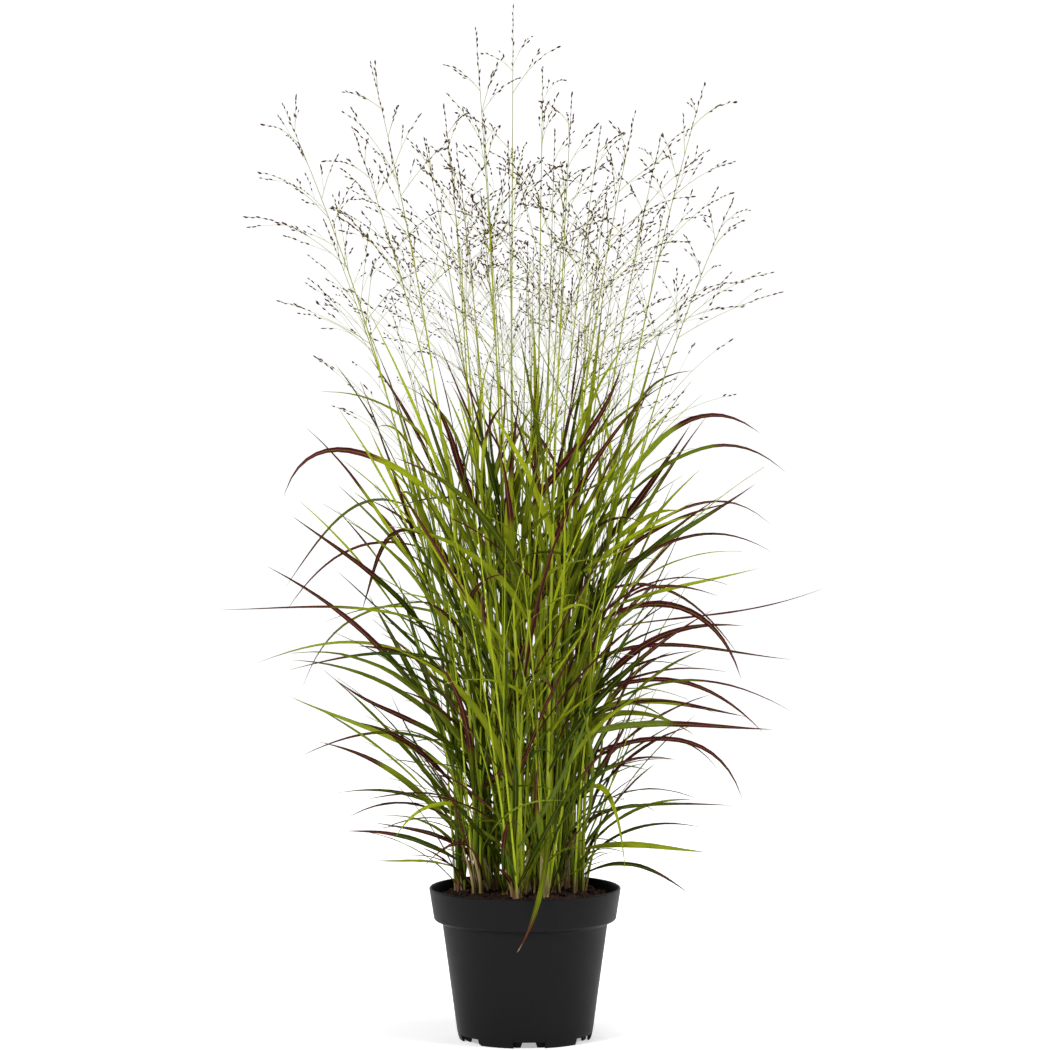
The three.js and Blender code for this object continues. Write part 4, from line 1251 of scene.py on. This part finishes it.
def seed_material():
    """Hair-thin stalks, green below and brown above, with dark purple-brown grains."""
    material, tree = new_material("seed_heads")
    patches = noise(tree, place_of(tree), 60.0, 2.0)
    stalk = blended(tree, painted(tree, "green"), BROWN_STALK, GREEN_STALK)
    husk = blended(tree, painted(tree, "tone"), DARK_HUSK, LIGHT_HUSK)
    husk = blended(tree, ranged(tree, patches, 0.45, 0.8, 0.0, 0.3), husk, HUSK_PATCH)
    surfaced(tree, solid(tree, blended(tree, painted(tree, "grain"), stalk, husk), 0.7, 0.1))
    return material


def plastic_material():
    """Black satin plastic with faint flow marks."""
    material, tree = new_material("pot_plastic")
    place = place_of(tree)
    cloud = noise(tree, place, 9.0, 4.0)
    fine = noise(tree, place, 420.0, 2.0)
    rough = ranged(tree, cloud, 0.3, 0.7, 0.42, 0.52)
    colour = blended(tree, cloud, DARK_PLASTIC, LIGHT_PLASTIC)
    surfaced(tree, solid(tree, colour, rough, 0.075, (fine, 0.12, 0.0004)))
    return material


def peat_material():
    """Damp reddish-brown peat with pale fibres here and there."""
    material, tree = new_material("soil")
    place = place_of(tree)
    coarse = noise(tree, place, 55.0, 4.0, 0.65)
    fine = noise(tree, place, 320.0, 4.0, 0.7)
    colour = blended(tree, ranged(tree, coarse, 0.3, 0.7), DARK_PEAT, LIGHT_PEAT)
    colour = blended(tree, ranged(tree, fine, 0.62, 0.78, 0.0, 0.8), colour, PEAT_FIBRE)
    surfaced(tree, solid(tree, colour, 0.92, 0.25, (fine, 0.8, 0.0015)))
    return material


def rounded(points, radius):
    """A profile with its corners rounded by radius, less where a side is short."""
    points = [np.array(point, float) for point in points]
    made = [points[0]]
    for before, corner, after in zip(points, points[1:], points[2:]):
        reach = min(radius, np.linalg.norm(before - corner) * 0.45, np.linalg.norm(after - corner) * 0.45)
        start = corner + unit(before - corner) * reach
        end = corner + unit(after - corner) * reach
        for step in range(ROUNDING_STEPS + 1):
            u = step / ROUNDING_STEPS
            made.append((1 - u) ** 2 * start + 2 * (1 - u) * u * corner + u * u * end)
    made.append(points[-1])
    return np.array(made)


def wall_at(z):
    """The radius of the pot's tapered wall at the height z."""
    return mix(BASE_RADIUS, LEDGE_RADIUS, (z - BASE_CORNER_Z) / (LEDGE_Z - BASE_CORNER_Z))


def band_at(z):
    """The radius of the pot's rim band at the height z."""
    return mix(BAND_FOOT_RADIUS, RIM_RADIUS, (z - BAND_FOOT_Z) / (POT_HEIGHT - BAND_FOOT_Z))


def lathe(profile, angles):
    """Points by ring and angle, and faces, of a closed profile that starts and ends on the axis."""
    rings = profile[1:-1]
    ways = np.stack([np.cos(angles), np.sin(angles)], -1)
    flat = rings[:, None, :1] * ways[None]
    rise = np.broadcast_to(rings[:, None, 1:], (len(rings), len(angles), 1))
    points = np.concatenate([flat, rise], -1)
    count = len(angles)
    here = np.arange(count)
    after = (here + 1) % count
    size = len(rings) * count
    low = np.stack([np.full(count, size), after, here], -1)
    high = np.stack([np.full(count, size + 1), size - count + here, size - count + after], -1)
    return points, [ring_faces(len(rings), count), low, high]


def notch_angles():
    """Evenly spaced angles, with a close pair at both sides of each notch in the foot."""
    angles = list(np.linspace(0, 2 * math.pi, POT_SIDES, endpoint=False))
    for n in range(NOTCHES):
        middle = math.radians(FIRST_NOTCH + n * 360 / NOTCHES)
        for side in (-1, 1):
            edge = middle + side * math.radians(NOTCH_ANGLE / 2)
            angles += [edge - NOTCH_EDGE, edge + NOTCH_EDGE]
    return np.sort(np.mod(angles, 2 * math.pi))


def add_web(shape, middle, side):
    """One of the two curved webs that stand behind a notch of the foot, under the floor."""
    share = np.linspace(0, 1, WEB_STEPS) if side > 0 else np.linspace(1, 0, WEB_STEPS)
    high = np.radians(middle + side * mix(WEB_GAP, WEB_END, share))
    low = np.radians(middle + side * mix(WEB_GAP + WEB_SLANT, WEB_END, share))
    corners = []
    for angles, z in ((low, 0.3), (high, FLOOR_Z + 0.4)):
        for radius in (WEB_RADIUS, WEB_RADIUS + WEB_THICK):
            rise = np.full(WEB_STEPS, z)
            corners.append(np.stack([radius * np.cos(angles), radius * np.sin(angles), rise], -1))
    low_in, low_out, high_in, high_out = corners
    shape.add(np.stack([low_in, high_in, high_out, low_out], 1), tube_faces(WEB_STEPS, 4))


def build_pot(material):
    """The pot, turned about its axis, with the notches pushed up into its foot ring."""
    floor_top = FLOOR_Z + FLOOR_THICKNESS
    foot = [
        (0, FLOOR_Z),
        (FOOT_RADIUS - FOOT_WALL, FLOOR_Z),
        (FOOT_RADIUS - FOOT_WALL, 0),
        (FOOT_RADIUS - 0.6, 0),
        (FOOT_RADIUS + 0.9, 4),
        (BASE_RADIUS, BASE_CORNER_Z),
    ]
    body = [
        (LEDGE_RADIUS, LEDGE_Z),
        (BAND_FOOT_RADIUS - 1.3, BAND_FOOT_Z - 1.3),
        (BAND_FOOT_RADIUS, BAND_FOOT_Z),
        (RIM_RADIUS, POT_HEIGHT - 1),
        (RIM_RADIUS - 1, POT_HEIGHT),
        (RIM_RADIUS - 2, POT_HEIGHT),
        (RIM_RADIUS - WALL - 1, POT_HEIGHT - 2),
        (BAND_FOOT_RADIUS - WALL, BAND_FOOT_Z + WALL),
        (wall_at(LEDGE_Z + WALL) - WALL, LEDGE_Z + WALL),
        (wall_at(floor_top) - WALL, floor_top),
        (0, floor_top),
    ]
    profile = rounded(foot + body, POT_ROUNDING)
    angles = notch_angles()
    points, faces = lathe(profile, angles)
    turn = 360 / NOTCHES
    away = np.mod(np.degrees(angles) - FIRST_NOTCH + turn / 2, turn) - turn / 2
    in_notch = np.abs(away) < NOTCH_ANGLE / 2
    low = points[:, :, 2] < NOTCH_HEIGHT
    points[:, :, 2] = np.where(low & in_notch[None], NOTCH_HEIGHT, points[:, :, 2])
    shape = Shape([])
    ends = np.array([[0, 0, FLOOR_Z], [0, 0, floor_top]])
    shape.add(np.concatenate([points.reshape(-1, 3), ends]), faces)
    for n in range(NOTCHES):
        for side in (-1, 1):
            add_web(shape, FIRST_NOTCH + n * turn, side)
    return shape.build("potPlastic", material, 40)


def bumps(points, rng, size, height):
    """A height at each point from random lumps of about the given size."""
    total = np.zeros(len(points))
    for _ in range(LUMP_WAVES):
        way = rng.normal(size=2)
        way = way / np.linalg.norm(way) * 2 * math.pi / (size * rng.uniform(0.6, 1.6))
        total += np.sin(points[:, :2] @ way + rng.uniform(0, 2 * math.pi))
    return total * height / LUMP_WAVES_HEIGHT


def mound_at(radius):
    """How much the soil's top is raised at this radius."""
    return SOIL_MOUND * (1 - stretch(*MOUND_RADII, radius))


def add_crumbs(shape, count, radius, rng):
    """Peat crumbs pressed into the top of the soil: lumps with eight corners, a tip and a point below."""
    corners = np.array([(1, 0, 0), (0, 1, 0), (-1, 0, 0), (0, -1, 0), (0.5, 0.5, 0.75), (-0.5, 0.5, 0.75)])
    corners = np.concatenate([corners, [(-0.5, -0.5, 0.75), (0.5, -0.5, 0.75), (0, 0, 1.1), (0, 0, -0.7)]])
    lower = [(0, 1, 4), (1, 5, 4), (1, 2, 5), (2, 6, 5), (2, 3, 6), (3, 7, 6), (3, 0, 7), (0, 4, 7)]
    upper = [(4, 5, 8), (5, 6, 8), (6, 7, 8), (7, 4, 8), (1, 0, 9), (2, 1, 9), (3, 2, 9), (0, 3, 9)]
    faces = np.array(lower + upper)
    far = radius * np.sqrt(rng.uniform(0, 1, count))
    turn = rng.uniform(0, 2 * math.pi, count)
    rise = SOIL_Z + 0.2 + mound_at(far)
    places = np.stack([far * np.cos(turn), far * np.sin(turn), rise], -1)
    sizes = rng.uniform(*CRUMB_SIZES, (count, 1, 1)) * rng.uniform(0.6, 1.3, (count, 1, 3))
    rough = corners[None] + rng.normal(0, 0.16, (count, len(corners), 3))
    shape.add(places[:, None] + rough * sizes, [many(faces, count, len(corners))])


def build_soil(material):
    """The soil inside the pot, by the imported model's profile, with a lumpy top."""
    rng = np.random.default_rng(SOIL_SEED)
    bottom = FLOOR_Z + FLOOR_THICKNESS + FLOOR_GAP
    inside = WALL + SOIL_GAP
    ledge = BAND_FOOT_Z + WALL + SOIL_GAP
    edge = band_at(SOIL_Z - 1) - 2 * WALL - SOIL_GAP
    start = [
        (0, bottom),
        (wall_at(bottom) - inside, bottom),
        (wall_at(LEDGE_Z) - inside, LEDGE_Z + WALL + SOIL_GAP),
        (band_at(ledge) - inside - WALL, ledge),
        (edge, SOIL_Z - 1),
    ]
    level = SOIL_Z - 0.4
    top = [(radius, level) for radius in np.linspace(edge - 1.2, 1.6, SOIL_RINGS)]
    profile = np.array(start + top + [(0, level)])
    points, faces = lathe(profile, np.linspace(0, 2 * math.pi, SOIL_SIDES, endpoint=False))
    points = np.concatenate([points.reshape(-1, 3), [[0, 0, bottom], [0, 0, level]]])
    on_top = points[:, 2] > SOIL_Z - 1.2
    lumps = sum(bumps(points, rng, size, height) for size, height in LUMPS)
    away = np.hypot(points[:, 0], points[:, 1])
    points[:, 2] += np.where(on_top, lumps + mound_at(away), 0)
    shape = Shape([])
    shape.add(points, faces)
    add_crumbs(shape, CRUMBS, edge - 4, rng)
    return shape.build("soilPeat", material, 60)


def stray_blade(culm, k, height, attempt):
    """A narrow blade that may lean any way, and hang, twist or cross the others."""
    draws = Draws(STRAY_BLADE_DRAWS, culm.number, k, attempt)
    root, up, inner, outward, hand = blade_start(culm, k, height, draws)
    azimuth = outward + hand * draws.angle(55 - 55 * inner, 180)
    swell = math.sin(math.pi * min(1, 0.25 + 0.55 * up))
    length = 90 + 200 * swell * draws.between(0.4, 1.1)
    bend = draws.between(0, 1) ** 2.5
    tilts = [draws.angle(8, 46), math.radians(22 + 95 * bend)]
    curve = arc(root, azimuth, length, tilts, draws.angle(-60, 60))
    rolls = [draws.angle(-90, 90), draws.angle(-130, 130)]
    width = (3.2 + 3.6 * swell) * draws.between(0.7, 1.2)
    return Blade(culm, curve, azimuth, width, rolls, max(0, draws.between(-2.0, 0.9)) ** 0.8)


def extra_heights(top):
    """Where extra blades leave a stem: close together low down and further apart above."""
    height = SOIL_Z + LOW_SPACING
    while height < top:
        yield height
        height += mix(LOW_SPACING, HIGH_SPACING, float(stretch(*SPACING_HEIGHTS, height)))


def grow_extra_blades(culms, room, blades):
    """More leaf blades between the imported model's, where there is space."""
    for culm in culms:
        for k, height in enumerate(extra_heights(culm.leaf_top())):
            for attempt in range(STRAY_TRIES):
                blade = stray_blade(culm, k, height, attempt)
                if np.all(inside_box(blade.samples())) and placed(blade, room, blades, STRAY_HELD):
                    break


def low_leaf(culm, draws, ranges):
    """A leaf from near the foot of a stem, with its values drawn from the ranges of its kind."""
    heights, turn, root_tilts, tip_tilts, lengths, swerve, rolls, widths = ranges
    root = culm.at(culm.share_at(draws.between(*heights)))
    azimuth = plan_angle(root) + draws.angle(-turn, turn)
    tilts = [draws.angle(*root_tilts), draws.angle(*tip_tilts)]
    curve = arc(root, azimuth, draws.between(*lengths), tilts, draws.between(-swerve, swerve))
    rolls = [draws.angle(-roll, roll) for roll in rolls]
    return Blade(culm, curve, azimuth, draws.between(*widths), rolls, 0)


def fits(blade, points, room, held_limit):
    """Whether the points of a low leaf are clear of the pot and mostly free."""
    return clears_pot(points) and room.held_share(points, blade.culm.number + 1) < held_limit


def short_leaves(culms, room):
    """Short narrow leaves round the foot of the outer stems."""
    made = []
    outer = sorted(culms, key=lambda culm: -plan_length(culm.base))[:SHORT_LEAVES]
    for culm in outer:
        for attempt in range(SHORT_LEAF_TRIES):
            draws = Draws(SHORT_LEAF_DRAWS, culm.number, attempt)
            blade = low_leaf(culm, draws, SHORT_LEAF)
            blade.red = max(0, draws.between(-0.6, 0.9))
            if fits(blade, blade.samples(), room, SHORT_LEAF_HELD):
                made.append(blade)
                break
    return made


def tillers(culms, room):
    """Young shoots from the soil: long narrow blades that stand steeply round the foot of the clump."""
    made = []
    for culm in culms:
        for k in range(TILLERS):
            for attempt in range(TILLER_TRIES):
                draws = Draws(TILLER_DRAWS, culm.number, k, attempt)
                blade = low_leaf(culm, draws, TILLER)
                blade.red = max(0, draws.between(-1.4, 0.9))
                # Painted shade: the tillers at the foot of the clump are darkened.
                blade.painted_shading = TILLER_PAINTED_SHADE
                if fits(blade, blade.samples()[TILLER_BURIED:], room, TILLER_HELD):
                    made.append(blade)
                    break
    return made


def dry_sheaths(culms):
    """Short straw-coloured leaf bases that flare from the stems just above the soil."""
    made = []
    for culm in culms:
        for k in range(DRY_SHEATHS):
            draws = Draws(DRY_SHEATH_DRAWS, culm.number, k)
            blade = low_leaf(culm, draws, DRY_SHEATH)
            blade.dry = draws.between(0.75, 1)
            if clears_pot(blade.samples()[DRY_SHEATH_BURIED:]):
                made.append(blade)
    return made


def hang(blade):
    """The blade that falls over the front of the rim turns its face outwards and is widest there."""
    blade.curve = [blade.curve[0]] + [np.array(point) for point in HANGING_CURVE]
    blade.side = np.array([1, 0, 0])
    blade.rolls = [0.2, -0.1]
    blade.width = 8
    blade.red = 0.22
    # Painted shade: the hanging blade is darkened.
    blade.painted_shading = 0.6
    blade.widest = 0.6


def declare(piece, node):
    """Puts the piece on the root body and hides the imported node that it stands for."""
    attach(piece, "root")
    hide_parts(node)


def paint_leaf_shading(blades):
    """Painted shade on the leaves low down and in the middle of the clump, painted light high up; not the set
    ones.
    """
    for blade in blades[len(SET_BLADES):]:
        x, y, z = blade.curve[0]
        blade.painted_shading *= mix(LOW_PAINTED_SHADE, HIGH_PAINTED_LIGHT, float(stretch(*PAINTED_LIGHT_HEIGHTS, z)))
        blade.painted_shading *= mix(INNER_PAINTED_SHADE, 1, float(stretch(*PAINTED_SHADE_RADII, math.hypot(x, y))))


def build_plant():
    """A piece of leaves and stems for each tuft and a seed head for each flowering stem."""
    room, culms, blades, branches = grow_plant()
    grow_extra_blades(culms, room, blades)
    blades += short_leaves(culms, room) + tillers(culms, room) + dry_sheaths(culms)
    hang(blades[HANGING_BLADE])
    paint_leaf_shading(blades)
    foliage = foliage_material()
    seeds = seed_material()
    for tuft in range(TUFTS):
        rng = np.random.default_rng(TUFT_SEED + tuft)
        shape = Shape(["along", "across", "tone", "red", "dry", "stem"])
        for culm in [each for each in culms if each.tuft == tuft]:
            own = [blade for blade in blades if blade.culm is culm]
            collars = sorted(culm.share_at(blade.curve[0][2]) for blade in own)
            add_culm(shape, culm, collars, rng)
            for blade in own:
                add_blade(shape, blade, rng)
            for _ in range(SHOOTS):
                add_shoot(shape, culm, rng)
        declare(shape.build(f"leavesTuft{tuft + 1:02d}", foliage), f"tuft_{tuft + 1:02d}")
    for n, culm in enumerate([each for each in culms if each.flowers]):
        shape = Shape(["grain", "tone", "green"])
        own = [branch for branch in branches if branch.culm is culm]
        add_panicle(shape, culm, own, np.random.default_rng(PANICLE_SEED + n))
        declare(shape.build(f"seedHead{n + 1:02d}", seeds, 70), f"panicle_{n + 1:02d}")


def aimed(made, place, target):
    """Puts a lamp or camera at a place and turns it to the target."""
    made.location = place
    made.rotation_euler = (Vector(target) - Vector(place)).to_track_quat("-Z", "Y").to_euler()


def build_backdrop():
    """A pale floor that sweeps up behind and glows a little, more so further back."""
    reach = BACKDROP_REACH
    depth = BACKDROP_DEPTH
    turn = BACKDROP_TURN
    rows = [(-reach, 0.0), (depth - turn, 0.0)]
    for step in range(1, BACKDROP_STEPS + 1):
        angle = step / BACKDROP_STEPS * math.pi / 2
        rows.append((depth - turn + turn * math.sin(angle), turn - turn * math.cos(angle)))
    rows.append((depth, reach))
    points = [(x, y, z) for y, z in rows for x in (-reach, reach)]
    faces = [(2 * i, 2 * i + 1, 2 * i + 3, 2 * i + 2) for i in range(len(rows) - 1)]
    mesh = bpy.data.meshes.new("backdrop")
    mesh.from_pydata(points, [], faces)
    mesh.shade_smooth()
    material, tree = new_material("backdrop")
    away = add_node(tree, "ShaderNodeSeparateXYZ", {0: place_of(tree)}).outputs[1]
    glow = ranged(tree, away, 0.0, depth / 2, NEAR_GLOW, FAR_GLOW)
    body = {"Base Color": BACKDROP_COLOUR, "Roughness": 1.0, "Specular IOR Level": 0.0}
    body |= {"Emission Color": WHITE, "Emission Strength": glow}
    surfaced(tree, add_node(tree, "ShaderNodeBsdfPrincipled", body).outputs[0])
    mesh.materials.append(material)
    backdrop = linked("backdrop", mesh)


def build_stage():
    """The backdrop, an even sky, soft lamps at both sides and above, and the camera."""
    build_backdrop()
    world = bpy.data.worlds.new("studio")
    world.use_nodes = True
    sky = world.node_tree.nodes["Background"].inputs
    sky["Color"].default_value = WHITE
    sky["Strength"].default_value = WORLD_STRENGTH
    bpy.context.scene.world = world
    for name, place, size, power in LAMPS:
        light = bpy.data.lights.new(name, "AREA")
        light.size = size
        light.energy = power
        aimed(linked(name, light), place, LAMP_AIM)

    camera = linked("camera", bpy.data.cameras.new("camera"))
    camera.data.lens = CAMERA_LENS
    camera.data.sensor_width = CAMERA_SENSOR
    camera.data.clip_end = CAMERA_FAR
    aimed(camera, CAMERA_PLACE, CAMERA_AIM)
    bpy.context.scene.camera = camera
    bpy.context.scene.view_settings.view_transform = "Standard"


declare(build_pot(plastic_material()), "pot")
declare(build_soil(peat_material()), "soil")
build_plant()
build_stage()
